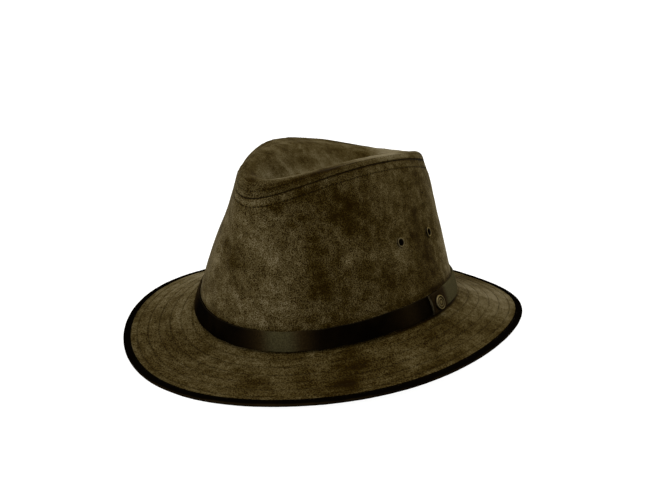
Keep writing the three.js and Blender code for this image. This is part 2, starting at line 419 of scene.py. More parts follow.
def meshPiece(name, points, faces, material, tone=0, around=(0, 0, 0)):
    mesh = bpy.data.meshes.new(name)
    mesh.from_pydata(points.reshape(-1, 3).tolist(), [], faces)
    paint(mesh, "around", "FLOAT_VECTOR", np.broadcast_to(around, points.shape))
    paint(mesh, "tone", "FLOAT", np.broadcast_to(tone, points.shape[:2]))
    cleaned(mesh)
    mesh.materials.append(material)
    return linked(name, mesh)


def sheetPiece(name, points, closed, material, tone=0, around=(0, 0, 0)):
    return meshPiece(name, points, gridFaces(*points.shape[:2], closed), material, tone, around)


# Works a piece's modifiers into its mesh.
def settled(piece):
    bpy.context.view_layer.update()
    graph = bpy.context.evaluated_depsgraph_get()
    mesh = bpy.data.meshes.new_from_object(
        piece.evaluated_get(graph), preserve_all_data_layers=True, depsgraph=graph)
    piece.modifiers.clear()
    piece.data = mesh


def anglesRound(count):
    return np.arange(count) / count * wholeTurn


# A new material, its board, and the place on the object that its patterns start from.
def freshMaterial(name):
    material = bpy.data.materials.new(name)
    material.use_nodes = True
    material.node_tree.nodes.clear()
    board = Board(material.node_tree)
    return material, board, board.objectPlace()


def finishMaterial(board, values):
    shader = board.add("ShaderNodeBsdfPrincipled", None, values)
    board.add("ShaderNodeOutputMaterial", None, {"Surface": shader})


# Waxed suede: clouded at several sizes, with a keen dark grain that is strongest at the front.
suedeSizes = {
    "deep": (0.0062, 0.0030, 0.0001),
    "dark": (0.0180, 0.0112, 0.0014),
    "middle": (0.0395, 0.0285, 0.0082),
    "light": (0.0690, 0.0548, 0.0260),
    # the palest stop, reached by wear and by painted highlights from the tone
    "wornAndSheen": (0.1150, 0.0965, 0.0580),
    "clouds": 34.0, "blots": 120.0, "specks": 430.0,
    "sheen": 0.05, "sheenTint": (0.85, 0.74, 0.50, 1),
}


# The clouds, blots, nap, specks and grit each have a strength. The grit calms down above a climb, and
# dull darkens it all.
def suede(name, sizes):
    material, board, place = freshMaterial(name)
    sizes = {**suedeSizes, **sizes}
    drift = board.noise(place, 26.0, 2.0, 0.5, "Color")
    wander = board.shifted(place, drift, 0.016)
    clouds = board.noise(wander, sizes["clouds"], 4.0, 0.6)
    blots = board.noise(wander, sizes["blots"], 4.0, 0.65)
    specks = board.noise(place, sizes["specks"], 3.0, 0.65)
    grit = board.noise(place, sizes["gritScale"], 2.0, 0.6)
    around = board.attribute("around", "Vector")
    nap = board.noise(board.scaled(around, sizes["napScale"]), 1.0, 3.0, 0.6)
    _, fromFront, climb = board.parts(around)
    calm = sizes["calmAbove"]
    keen = board.ramped(fromFront, -0.9, 0.4, 1.0, 0.55) * board.ramped(climb, calm, calm + 0.1, 1.0, 0.6)
    # tone: the piece's pale and dark spots, partly its own colour and partly painted light and painted
    # shade
    tone = board.attribute("tone")
    depth = 0.5 - sizes["dull"] + (clouds - 0.5) * sizes["cloud"] + (blots - 0.5) * sizes["blot"] \
        + (nap - 0.5) * sizes["nap"] + tone * 0.28
    gloom = board.ramped(depth, 0.62, 0.30)
    pits = smaller(grit - 0.5, 0.05)
    grain = (specks - 0.5) * sizes["speck"] + pits * keen * (0.85 + gloom * 0.45) * sizes["grit"]
    shade = board.add("ShaderNodeValToRGB", {"stops": [
        (0.10, sizes["deep"]), (0.32, sizes["dark"]), (0.52, sizes["middle"]),
        (0.72, sizes["light"]), (0.97, sizes["wornAndSheen"])]}, {"Fac": depth + grain}, "Color")
    fuzz = board.noise(place, 1500.0, 2.0, 0.7)
    height = specks * 0.5 + grit * 0.5 + fuzz * 0.25 + blots * 0.4
    finishMaterial(board, {
        "Base Color": shade, "Roughness": 0.80 + gloom * 0.12,
        "Normal": board.bump(height, 0.55, 0.35 * mm), "Specular IOR Level": 0.01,
        "Sheen Weight": sizes["sheen"], "Sheen Roughness": 0.3,
        "Sheen Tint": sizes["sheenTint"]})
    return material


def edgingLeather():
    material, board, place = freshMaterial("edgingLeather")
    pebbles = board.pebbles(place, 900.0, 0.6)
    cloud = board.noise(place, 60.0, 4.0, 0.6)
    # paler where worn and where a highlight is painted over the nose
    rubAndSheen = board.ramped(board.attribute("tone") + (cloud - 0.5) * 0.8, 0.35, 1.0)
    colour = board.blended(rubAndSheen, (0.0008, 0.0005, 0.0002, 1), (0.0080, 0.0046, 0.0012, 1))
    height = pebbles * 0.6 + board.noise(place, 500.0, 3.0, 0.6) * 0.5
    finishMaterial(board, {
        "Base Color": colour, "Roughness": 0.42 + cloud * 0.2, "Normal": board.bump(height, 0.4, 0.2 * mm),
        "Specular IOR Level": 0.0, "Coat Weight": 0.0025 + rubAndSheen * 0.02, "Coat Roughness": 0.4})
    return material


def strapLeather():
    material, board, place = freshMaterial("strapLeather")
    around = board.attribute("around", "Vector")
    # painted sheen: the strap's face is made paler where it would reflect the studio light
    paintedSheen = board.parts(around)[2]
    edge = board.ramped(board.attribute("tone"), 0.45, 0.95)
    pores = board.pebbles(place, 1100.0, 0.7)
    cloud = board.noise(place, 45.0, 4.0, 0.6)
    scuff = board.noise(board.scaled(around, (30.0, 900.0, 900.0)), 1.0, 3.0, 0.6)
    base = board.blended(board.ramped(cloud, 0.35, 0.7), (0.0007, 0.0004, 0.0001, 1),
                         (0.0024, 0.0014, 0.0004, 1))
    wornAndSheen = board.blended(board.ramped(paintedSheen, 0.3, 0.95), (0.030, 0.019, 0.007, 1),
                         (0.036, 0.0315, 0.0145, 1))
    base = board.blended(paintedSheen * (0.35 + pores * 1.1), base, wornAndSheen)
    colour = board.blended(edge, base, (0.030, 0.025, 0.014, 1))
    height = pores * 0.5 + scuff * 0.25 + board.noise(place, 260.0, 3.0, 0.6) * 0.8
    finishMaterial(board, {
        "Base Color": colour, "Roughness": 0.34 + cloud * 0.10 + edge * 0.3 + (scuff - 0.5) * 0.1,
        "Normal": board.bump(height, 0.3, 0.2 * mm), "Specular IOR Level": 0.0,
        "Coat Weight": 0.006 + (scuff - 0.5) * 0.005, "Coat Roughness": 0.36})
    return material


def oldBrass():
    material, board, place = freshMaterial("oldBrass")
    blot = board.noise(place, 700.0, 4.0, 0.65)
    grime = board.ramped(board.attribute("tone") + (blot - 0.5) * 0.5, 0.25, 0.95)
    colour = board.blended(grime, (0.009, 0.006, 0.002, 1), (0.082, 0.067, 0.036, 1))
    height = board.noise(place, 2600.0, 3.0, 0.6) * 0.5 + blot * 0.7
    finishMaterial(board, {
        "Base Color": colour, "Metallic": 0.75 + grime * 0.25, "Roughness": 0.55 - grime * 0.15,
        "Normal": board.bump(height, 0.35, 0.1 * mm), "Specular IOR Level": 0.1,
        "Specular Tint": (0.75, 0.64, 0.42, 1)})
    return material


def threadMaterial(name, dark, light):
    material, board, place = freshMaterial(name)
    tint = board.noise(place, 320.0, 3.0, 0.6)
    twist = board.noise(place, 3200.0, 2.0, 0.5)
    colour = board.blended(board.ramped(tint + board.attribute("tone") * 0.3, 0.35, 0.75), dark, light)
    finishMaterial(board, {
        "Base Color": colour, "Roughness": 0.62 + tint * 0.2, "Normal": board.bump(twist, 0.5, 0.1 * mm),
        "Specular IOR Level": 0.02})
    return material


def liningCotton():
    material, board, place = freshMaterial("liningCotton")
    weave = board.noise(place, 1400.0, 2.0, 0.6)
    cloud = board.noise(place, 40.0, 3.0, 0.6)
    colour = board.blended(cloud * 0.6 + weave * 0.4, (0.010, 0.0085, 0.005, 1), (0.028, 0.024, 0.015, 1))
    finishMaterial(board, {
        "Base Color": colour, "Roughness": 0.85 + cloud * 0.1, "Normal": board.bump(weave, 0.4, 0.2 * mm),
        "Specular IOR Level": 0.15})
    return material


sideSuede = suede("sideSuede", {
    "cloud": 0.8, "blot": 1.1, "nap": 0.2, "napScale": (2.0, 2.0, 9.0),
    "speck": 0.35, "grit": 4.3, "gritScale": 1700.0, "calmAbove": 9.0, "dull": 0.035})
tipSuede = suede("tipSuede", {
    "cloud": 0.65, "blot": 0.68, "nap": 0.45, "napScale": (2.2, 2.2, 14.0),
    "speck": 0.25, "grit": 3.6, "gritScale": 1700.0, "calmAbove": 0.44, "dull": 0.035,
    "middle": (0.0395, 0.0292, 0.0096), "light": (0.0695, 0.0570, 0.0290),
    "wornAndSheen": (0.1150, 0.0990, 0.0640)})
brimSuede = suede("brimSuede", {
    "cloud": 0.65, "blot": 0.65, "nap": 0.4, "napScale": (9.0, 9.0, 30.0),
    "speck": 0.25, "grit": 2.3, "gritScale": 1100.0, "calmAbove": 9.0, "dull": 0.035,
    "middle": (0.0395, 0.0294, 0.0100), "light": (0.0695, 0.0562, 0.0285),
    "wornAndSheen": (0.1150, 0.0980, 0.0620)})
blackEdging = edgingLeather()
darkStrap = strapLeather()
agedBrass = oldBrass()
cotton = liningCotton()
oliveThread = threadMaterial("oliveThread", (0.006, 0.0040, 0.0010, 1), (0.020, 0.0145, 0.0045, 1))
darkThread = threadMaterial("darkThread", (0.0015, 0.0010, 0.0003, 1), (0.007, 0.0048, 0.0012, 1))
blackThread = threadMaterial("blackThread", (0.002, 0.0016, 0.001, 1), (0.010, 0.008, 0.005, 1))
print("materials made")


# A modifier's tree with its named inputs, and a wire for each of them.
def newTree(name, sizes):
    tree = bpy.data.node_groups.new(name, "GeometryNodeTree")
    tree.interface.new_socket("Geometry", in_out="INPUT", socket_type="NodeSocketGeometry")
    for label, value in sizes.items():
        kind = {bpy.types.Material: "Material", int: "Int", float: "Float"}[type(value)]
        tree.interface.new_socket(label, in_out="INPUT", socket_type="NodeSocket" + kind)
    tree.interface.new_socket("Geometry", in_out="OUTPUT", socket_type="NodeSocketGeometry")
    board = Board(tree)
    entry = tree.nodes.new("NodeGroupInput")
    return board, {output.name: Wire(board, output) for output in entry.outputs if output.name}


# Every tree ends here.
def closeTree(board, geometry, material):
    solid = board.add("GeometryNodeRealizeInstances", None, {"Geometry": geometry})
    dressed = board.add("GeometryNodeSetMaterial", None, {"Geometry": solid, "Material": material})
    leave = board.tree.nodes.new("NodeGroupOutput")
    board.tree.links.new(dressed.socket, leave.inputs["Geometry"])


# Runs a tree on a starting mesh and keeps the result as a plain mesh.
def grown(name, start, tree, sizes):
    piece = linked(name, start)
    modifier = piece.modifiers.new("maker", "NODES")
    modifier.node_group = tree
    for item in tree.interface.items_tree:
        if item.in_out == "INPUT" and item.name in sizes:
            modifier[item.identifier] = sizes[item.name]
    settled(piece)
    piece.data.name = name
    return piece


def stored(board, geometry, name, kind, value):
    return board.add("GeometryNodeStoreNamedAttribute", {"data_type": kind, "domain": "POINT"},
                     {"Geometry": geometry, "Name": name, "Value": value})


def spotValues(mesh, name, kind):
    layer = mesh.attributes[name]
    size = 3 if kind == "vector" else 1
    values = np.empty(len(layer.data) * size, np.float32)
    layer.data.foreach_get(kind, values)
    return values.reshape(-1, size) if size > 1 else values


# Pale and dark places on the brim, as toneAt reads them: partly the suede's own colour and partly
# painted light and shade. Their climb runs from the rim (0) inwards.
brimPlaces = [
    (-88, 0.45, 10, 0.50, 0, 0.7), (-45, 0.80, 14, 0.12, 0, 0.55), (46, 0.35, 5, 0.30, 0, -0.6),
    (58, 0.87, 8, 0.08, 0, -0.6), (88, 0.80, 8, 0.12, 0, -0.5), (25, 0.50, 5, 0.10, 0, 0.45),
    (66, 0.55, 5, 0.15, 0, 0.4), (72, 0.24, 6, 0.06, 0, -0.6), (-15, 0.38, 5, 0.10, 0, -0.4),
    (140, 0.40, 12, 0.40, 0, 0.7), (104, 0.66, 6, 0.08, 0, 0.4), (126, 0.68, 6, 0.08, 0, 0.4),
    (47, 0.85, 4, 0.09, 0, -0.9), (49, 0.60, 6, 0.12, 0, -0.6), (45, 0.32, 6, 0.10, 0, -0.9),
    (62, 0.50, 6, 0.20, 0, -0.3), (30, 0.55, 6, 0.10, 0, -0.4), (18, 0.42, 4, 0.08, 0, -0.4),
    (30, 0.18, 4, 0.05, 0, -0.4), (-15, 0.70, 5, 0.08, 0, -0.4), (-35, 0.57, 7, 0.06, 0, -0.4),
    (-28, 0.45, 4, 0.05, 0, -0.35), (-50, 0.45, 5, 0.08, 0, -0.4), (70, 0.72, 6, 0.12, 0, -0.3),
    (90, 0.65, 10, 0.20, 0, -0.5), (103, 0.32, 4, 0.10, 0, -0.4), (-62, 0.68, 3, 0.10, 15, -0.4),
    (-30, 0.82, 8, 0.08, 0, 0.4), (5, 0.33, 8, 0.10, 0, 0.4), (-8, 0.40, 4, 0.08, 0, 0.25),
    (-70, 0.40, 14, 0.30, 0, 0.45), (128, 0.35, 20, 0.30, 0, 0.6), (95, 0.22, 5, 0.08, 0, 0.3),
    (10, 0.78, 6, 0.06, 0, 0.2), (160, 0.30, 14, 0.20, 0, -0.4), (-130, 0.60, 12, 0.25, 0, -0.5),
    (-155, 0.35, 12, 0.20, 0, 0.4), (178, 0.70, 10, 0.15, 0, 0.4), (45, 0.50, 10, 0.50, 0, -0.45),
    (10, 0.40, 15, 0.25, 0, -0.3), (75, 0.20, 8, 0.08, 0, -0.4), (-65, 0.75, 8, 0.12, 0, 0.5),
    (-95, 0.50, 8, 0.40, 0, 0.4), (-70, 0.50, 16, 0.40, 0, 0.15),
    (-92, 0.45, 9, 0.50, 0, 0.45), (-72, 0.70, 6, 0.08, 0, 0.4), (45, 0.15, 14, 0.06, 0, -0.4),
    (-25, 0.15, 6, 0.05, 0, -0.35), (140, 0.15, 10, 0.08, 0, 0.55), (142, 0.85, 8, 0.08, 0, 0.35),
    # a painted shadow under the strap: the last spot on the line below and the first on the line after
    (-45, 0.70, 6, 0.08, 0, 0.35), (25, 0.72, 5, 0.08, 0, 0.3), (92, 0.955, 26, 0.022, 0, -2.0),
    (100, 0.985, 40, 0.012, 0, -1.5), (-60, 0.55, 16, 0.40, 0, 0.2),
]


# Painted shade in the brim's sewn grooves: darker on the wearer's right.
paintedGrooveShade = {"all": 0.2, "more": 0.5, "angle": -60 * degree, "spread": 50 * degree}


# The brim is a grid wrapped round its own section: the upper face in from the rim, then the under face out.
def makeBrim():
    sizes = {**brimSizes, "seed": 4, "finish": brimSuede}
    board, given = newTree("brimMaker", sizes)
    rows = given["topRows"] + given["underRows"]
    grid = board.add("GeometryNodeMeshGrid", None, {
        "Size X": 1.0, "Size Y": 1.0, "Vertices X": given["stations"] + 1, "Vertices Y": rows + 1})
    spot = board.parts(board.add("GeometryNodeInputPosition"))
    angle = (spot[0] + 0.5) * wholeTurn
    row = roundedOff((spot[1] + 0.5) * rows)
    under = row.maths("GREATER_THAN", row, given["topRows"] + 0.5)
    lastRow = row.maths("GREATER_THAN", row, rows - 0.5)
    beneath = under - lastRow
    topInward = row / given["topRows"]
    underInward = (rows - row) / given["underRows"]
    inward = topInward * (1 - under) + underInward * under
    x, y, z = brimAt(angle, inward, given)
    width = brimWidthAt(angle, given)
    spacing = rowSpacingAt(width, given)
    distance = inward * width
    nearest = (distance - given["firstRow"]) / spacing
    closest = smaller(larger(roundedOff(nearest), 0.0), given["stitchRows"] - 1)
    gap = sizeOf(nearest - closest) * spacing
    groove = bell(gap / given["grooveWidth"])
    where = board.vector(x, y, z)
    seedShift = board.shifted(where, board.vector(given["seed"], 0.0, 0.0), 1.0)
    ripple = board.noise(seedShift, given["puckerScale"], 2.0, 0.5) - 0.5
    swell = board.noise(seedShift, given["swellScale"], 2.0, 0.5) - 0.5
    nearRow = bell(gap / given["puckerReach"])
    puffed = given["puff"] * (1 - bell(gap / given["puffReach"]))
    relief = puffed + swell * given["swell"] + ripple * given["pucker"] * (1 + nearRow) \
        - given["grooveDepth"] * groove
    fade = smaller(distance / given["rimFade"], 1.0)
    height = z + relief * fade * (1 - 2 * under) - beneath * given["thickness"]
    kept = stored(board, grid, "around", "FLOAT_VECTOR", board.vector(sinOf(angle), -cosOf(angle), inward))
    kept = stored(board, kept, "groove", "FLOAT", groove)
    moved = board.add("GeometryNodeSetPosition", None, {
        "Geometry": kept, "Position": board.vector(x, y, height)})
    joined = board.add("GeometryNodeMergeByDistance", None, {"Geometry": moved, "Distance": 2e-6})
    closeTree(board, joined, given["finish"])
    piece = grown("brimPanel", bpy.data.meshes.new("brimStart"), board.tree, sizes)
    around = spotValues(piece.data, "around", "vector")
    turns = np.arctan2(around[:, 0], -around[:, 1])
    # painted shade in the sewn grooves, taken off the tone
    grooveShadeHere = paintedGrooveShade["all"] + paintedGrooveShade["more"] * bell((turns - paintedGrooveShade["angle"]) / paintedGrooveShade["spread"])
    tone = toneAt(turns, around[:, 2], brimPlaces) - grooveShadeHere * spotValues(piece.data, "groove", "value")
    paint(piece.data, "tone", "FLOAT", tone)
    cleaned(piece.data)
    return piece


edgingSizes = {
    "reach": 4.2 * mm, "thickness": 0.75 * mm, "gap": 0.1 * mm, "nose": 1.1 * mm, "corner": 0.45 * mm,
    "noseInset": 0.5 * mm, "stations": 900, "pucker": 0.12 * mm, "puckerScale": 240.0, "swellScale": 70.0,
    "floor": 0.0,            # nothing of it dips below this
}

# The edging is paler over its nose, between these distances out from the rim, and in soft spots: partly
# wear and partly a painted highlight.
edgingWearAndSheen = {
    "start": 0.2 * mm, "end": 1.3 * mm, "strength": 0.5,
    "places": [(20, 0, 50, 1, 0, 0.35), (100, 0, 30, 1, 0, 0.2)],
}


# The edging's section, as a closed loop of outward and upward offsets from the rim.
def edgingOutline():
    inner = brimSizes["thickness"] / 2 + edgingSizes["gap"]
    outer = inner + edgingSizes["thickness"]
    reach, corner, inset = edgingSizes["reach"], edgingSizes["corner"], edgingSizes["noseInset"]
    nose, outline = [], []
    for turn in (np.arange(17) / 16 - 0.5) * math.pi:
        nose.append(((edgingSizes["nose"] + inset) * math.cos(turn) - inset, outer * math.sin(turn)))
    for share in np.linspace(0.12, 1, 9):
        outline.append((-inset - share * (reach - inset - corner), outer))
    for turn in np.arange(1, 6) / 5 * math.pi / 2:       # the inner edge turns down
        outline.append((corner - reach - corner * math.sin(turn),
                        outer - corner + corner * math.cos(turn)))
    outline.append((-reach, inner))
    for share in np.linspace(0.2, 1, 4):
        outline.append((-reach + share * (reach + edgingSizes["gap"]), inner))
    return nose + outline + [(x, -y) for x, y in reversed(outline)]


def makeEdging():
    outline = edgingOutline()
    count = len(outline)
    start = bpy.data.meshes.new("edgingStart")
    start.from_pydata([(x, y, 0) for x, y in outline], [(i, (i + 1) % count) for i in range(count)], [])
    sizes = {**brimSizes, **edgingSizes, "seed": 7, "finish": blackEdging}
    board, given = newTree("edgingMaker", sizes)
    section = board.add("GeometryNodeMeshToCurve", None, {"Mesh": given["Geometry"]})
    circle = board.add("GeometryNodeCurvePrimitiveCircle", None, {"Resolution": given["stations"]})
    angle = board.add("GeometryNodeInputIndex") / given["stations"] * wholeTurn
    path = board.add("GeometryNodeSetPosition", None, {
        "Geometry": circle, "Position": board.vector(*rimAt(angle, given))})
    path = board.add("GeometryNodeSetCurveNormal", {"mode": "Z_UP"}, {"Curve": path})
    rim = brimAt(angle, 0.0, given)
    inner = brimAt(angle, 0.25, given)
    run = rootOf((rim[0] - inner[0]) * (rim[0] - inner[0]) + (rim[1] - inner[1]) * (rim[1] - inner[1]))
    slope = run.maths("ARCTAN2", inner[2] - rim[2], run)
    path = board.add("GeometryNodeSetCurveTilt", None, {"Curve": path, "Tilt": slope})
    path = stored(board, path, "around", "FLOAT_VECTOR", board.vector(sinOf(angle), -cosOf(angle), 0.0))
    swept = board.add("GeometryNodeCurveToMesh", None, {"Curve": path, "Profile Curve": section})
    place = board.add("GeometryNodeInputPosition")
    seedShift = board.shifted(place, board.vector(given["seed"], 0.0, 0.0), 1.0)
    ripple = (board.noise(seedShift, given["puckerScale"], 2.0, 0.5) - 0.5) * given["pucker"] * 2 \
        + (board.noise(seedShift, given["swellScale"], 2.0, 0.5) - 0.5) * given["pucker"] * 2
    lift = board.add("ShaderNodeVectorMath", {"operation": "SCALE"},
                     {0: board.add("GeometryNodeInputNormal"), 3: ripple})
    ruffled = board.add("GeometryNodeSetPosition", None, {"Geometry": swept, "Offset": lift})
    x, y, z = board.parts(board.add("GeometryNodeInputPosition"))
    pressed = board.add("GeometryNodeSetPosition", None, {
        "Geometry": ruffled, "Position": board.vector(x, y, larger(z, given["floor"]))})
    closeTree(board, pressed, given["finish"])
    piece = grown("brimEdging", start, board.tree, sizes)
    mesh = piece.data
    spots = np.empty(len(mesh.vertices) * 3, np.float32)
    mesh.vertices.foreach_get("co", spots)
    spots = spots.reshape(-1, 3)
    around = spotValues(mesh, "around", "vector")
    angle = np.arctan2(around[:, 0], -around[:, 1])
    rim = stacked(rimAt(angle, brimSizes))
    out = np.einsum("ij,ij->i", spots - rim, level(rim))
    # paler over the nose, partly wear and partly a painted highlight
    wornAndSheen = smoothstep(out, edgingWearAndSheen["start"], edgingWearAndSheen["end"]) * edgingWearAndSheen["strength"]
    paint(mesh, "tone", "FLOAT", wornAndSheen + toneAt(angle, 0, edgingWearAndSheen["places"]))
    cleaned(mesh)
    return piece


sideSizes = {
    "stations": 640, "thickness": 1.6 * mm, "lowest": 0.5 * mm,
    "fineRows": 24, "fineReach": 10 * mm, "coarseRows": 84, "innerRows": 9,
    "seamRoll": 0.4 * mm, "stitchRow": 5.6 * mm, "grooveDepth": 0.22 * mm, "grooveWidth": 0.6 * mm,
    "pucker": 0.11 * mm, "puckerReach": 6 * mm, "puckerSeed": 13,
    "calmBelow": (0.15, 0.24),                           # smooth where the strap lies
    "bulge": 0.25 * mm, "bulgeRise": 0.185, "bulgeSpread": 0.03,      # and swollen just above it
}

# Pale and dark places on the side, partly the suede's own colour and partly painted light and shade.
# Their climb runs from the brim (0) to the seam (1).
sidePlaces = [
    (70, 0.50, 32, 0.70, 0, -0.3), (-30, 0.55, 9, 0.18, 0, 0.6), (24, 0.42, 6, 0.18, 0, 0.5),
    (31, 0.62, 5, 0.07, 0, 0.4), (68, 0.45, 7, 0.06, 0, 0.45), (95, 0.36, 7, 0.20, 0, -0.4),
    (-30, 0.92, 8, 0.06, 0, -0.7), (38, 0.93, 14, 0.05, 0, -0.4), (122, 0.45, 7, 0.30, 0, 0.5),
    (95, 0.95, 25, 0.04, 0, 0.45),
    (5, 0.74, 9, 0.12, -8, 0.4), (-2, 0.88, 10, 0.06, 0, 0.35), (18, 0.60, 6, 0.10, -60, 0.6),
    (25, 0.42, 4, 0.10, 0, 0.35), (18, 0.28, 10, 0.10, 0, 0.45), (-5, 0.33, 12, 0.06, 0, 0.4),
    (-20, 0.25, 10, 0.10, 0, 0.3), (8, 0.20, 14, 0.04, 0, 0.3), (-3, 0.57, 10, 0.08, 0, -0.8),
    (8, 0.52, 3, 0.05, 0, -0.3), (-8, 0.43, 2, 0.03, 0, -0.35), (-20, 0.62, 6, 0.06, 0, -0.35),
    (42, 0.50, 6, 0.10, 0, -1.0), (40, 0.36, 6, 0.07, 0, -0.75), (50, 0.33, 3, 0.06, 0, -0.4),
    (62, 0.77, 10, 0.10, -10, -1.0), (68, 0.82, 4, 0.05, 0, -0.4), (60, 0.64, 4, 0.03, 0, -0.4),
    (48, 0.93, 22, 0.06, 0, -0.6), (26, 0.86, 2.5, 0.10, -60, -0.6), (33, 0.80, 2, 0.10, -60, -0.5),
    (29, 0.80, 1.2, 0.10, -60, 0.45), (37, 0.72, 2, 0.08, -60, -0.4), (76, 0.63, 3, 0.03, 0, -0.5),
    (71, 0.38, 2, 0.10, 0, -0.55), (60, 0.28, 6, 0.07, 0, -0.35), (44, 0.19, 8, 0.04, 0, -0.4),
    (85, 0.80, 5, 0.12, 0, 0.3), (80, 0.38, 4, 0.08, 0, 0.25), (66, 0.50, 4, 0.05, 0, 0.25),
    (55, 0.48, 3, 0.05, 0, 0.2), (99, 0.50, 6, 0.30, -8, -0.45), (93, 0.50, 3, 0.03, 0, -0.4),
    (118, 0.30, 8, 0.22, 0, 0.5), (150, 0.60, 14, 0.15, 0, -0.7), (-150, 0.45, 16, 0.2, 10, -0.7),
    (-95, 0.60, 14, 0.20, 0, -0.7), (-55, 0.75, 10, 0.12, 0, -0.5), (-120, 0.80, 10, 0.10, 0, 0.5),
    (180, 0.30, 16, 0.12, 0, 0.5), (-75, 0.30, 10, 0.12, 0, 0.5), (165, 0.85, 12, 0.08, 0, 0.3),
    (-30, 0.95, 10, 0.05, 0, -0.5), (0, 0.95, 10, 0.05, 0, -0.35), (40, 0.94, 16, 0.05, 0, -0.35),
    (40, 0.85, 8, 0.06, 0, -0.35), (60, 0.65, 8, 0.07, 0, -0.45), (60, 0.55, 8, 0.05, 0, -0.3),
    (90, 0.65, 8, 0.06, 0, -0.35), (110, 0.55, 8, 0.08, 0, -0.45), (40, 0.35, 8, 0.06, 0, -0.35),
    (80, 0.25, 8, 0.06, 0, -0.35), (20, 0.65, 7, 0.06, 0, 0.45), (-10, 0.75, 8, 0.06, 0, 0.4),
    (-40, 0.45, 8, 0.08, 0, 0.45), (20, 0.35, 7, 0.06, 0, 0.35), (120, 0.65, 8, 0.08, 0, 0.4),
    (120, 0.35, 8, 0.08, 0, 0.4), (-28, 0.50, 9, 0.22, 0, 0.35), (10, 0.68, 6, 0.08, 0, -0.4),
    (35, 0.46, 9, 0.05, 0, -0.3), (28, 0.16, 14, 0.04, 0, 0.35), (120, 0.30, 7, 0.20, 0, 0.25),
    # the spot at 130° on the line below is a painted sheen along the crown's edge
    (60, 0.76, 5, 0.05, 0, 0.3), (100, 0.25, 5, 0.05, 0, -0.3), (130, 0.40, 10, 0.35, 0, 0.6),
    (-25, 0.70, 14, 0.30, 0, 0.15),
]

# Soft folds in the side, given in the same way, with a height for the strength.
sideFolds = [
    (22, 0.72, 5, 0.18, -45, 0.9 * mm), (34, 0.76, 4, 0.16, -45, -0.9 * mm),
    (-8, 0.6, 9, 0.12, 0, -0.5 * mm), (98, 0.5, 8, 0.3, 0, -0.8 * mm), (112, 0.5, 8, 0.3, 0, 0.5 * mm),
]


# Painted light and shade on the side: painted shade in its sewn row's groove, a paler band under the seam
# at the front, and a painted shadow along the strap's upper edge, which is darker on the wearer's left.
sideShades = {
    "groove": 0.7, "lip": 0.8, "lipAngle": -15 * degree, "lipSpread": 32 * degree, "lipDrop": 3 * mm,
    "lipWidth": 1.6 * mm, "strapShadow": 0.4, "strapRise": 0.142, "strapSpread": 0.016, "leftShadow": 0.7,
    "leftAngle": 105 * degree, "leftSpread": 35 * degree,
}
# painted shade on the crown's inside faces and in the seam's roll
hiddenShade = -1.4            # inside the crown and in the seam


# Painted shade in the seam's groove, darkest on the wearer's left, towards the back. Angles are in radians.
paintedSeamShade = {"all": 0.35, "more": 0.55, "angle": 1.9, "spread": 0.9, "width": 0.35 * mm}


def seamShade(angle, distance):
    away = turnBetween(angle, paintedSeamShade["angle"]) / paintedSeamShade["spread"]
    strength = paintedSeamShade["all"] + paintedSeamShade["more"] * bell(away)
    return strength * bell((distance - sideSizes["seamRoll"]) / paintedSeamShade["width"])


# Slow and quick waves in the two panels: a seed, a count, the turns, the climbs and a height.
sideWaves = [(11, 14, (3, 15), 9, 0.35 * mm), (12, 16, (14, 46), 30, 0.10 * mm)]
tipWaves = [(21, 12, (2, 9), 6, 0.35 * mm), (22, 14, (8, 30), 16, 0.10 * mm)]
ruffle = (14, (60, 120), 0.15)       # the count, turns and climbs of the puckers
notchCount, notchShare = 150, 0.25   # the stitches' own marks along a groove


def softRelief(angle, climb, layers):
    return sum(waves(angle, climb, *layer) * height for *layer, height in layers)


# Puckers and a notched groove where the panels are sewn, at a distance from the seam.
def sewnRelief(angle, distance, sizes):
    puckers = waves(angle, distance / mm, sizes["puckerSeed"], *ruffle) * sizes["pucker"] \
        * bell(distance / sizes["puckerReach"])
    groove = bell((distance - sizes["stitchRow"]) / sizes["grooveWidth"])
    notches = 1 - notchShare + notchShare * np.cos(notchCount * angle)
    return puckers, groove, groove * sizes["grooveDepth"] * notches


# Rolls a panel's edge inwards, a quarter turn.
def rolledEdge(edge, before, normals, roll):
    onward = unit(edge - before)
    return np.array([edge + onward * roll * math.sin(turn) - normals * roll * (1 - math.cos(turn))
                     for turn in np.linspace(0, math.pi / 2, 6)[1:]])


# A panel made of bands of rows. Each band has its points, tone and climb.
def shellPiece(name, bands, closed, material):
    points = np.concatenate([band[0] for band in bands])
    tone, climb = [np.concatenate([np.broadcast_to(band[i], band[0].shape[:2]) for band in bands])
                   for i in (1, 2)]
    angles = anglesRound(points.shape[1])
    around = stacked((np.sin(angles), -np.cos(angles), climb))
    return sheetPiece(name, points, closed, material, tone, around)


def sideRelief(angle, rise, drop):
    soft = softRelief(angle, rise, sideWaves) + toneAt(angle, rise, sideFolds)
    puckers, groove, depth = sewnRelief(angle, drop, sideSizes)
    aboveStrap = smoothstep(rise, *sideSizes["calmBelow"])
    bulge = bell((rise - sideSizes["bulgeRise"]) / sideSizes["bulgeSpread"]) * sideSizes["bulge"]
    return (soft + puckers) * aboveStrap + bulge - depth, groove


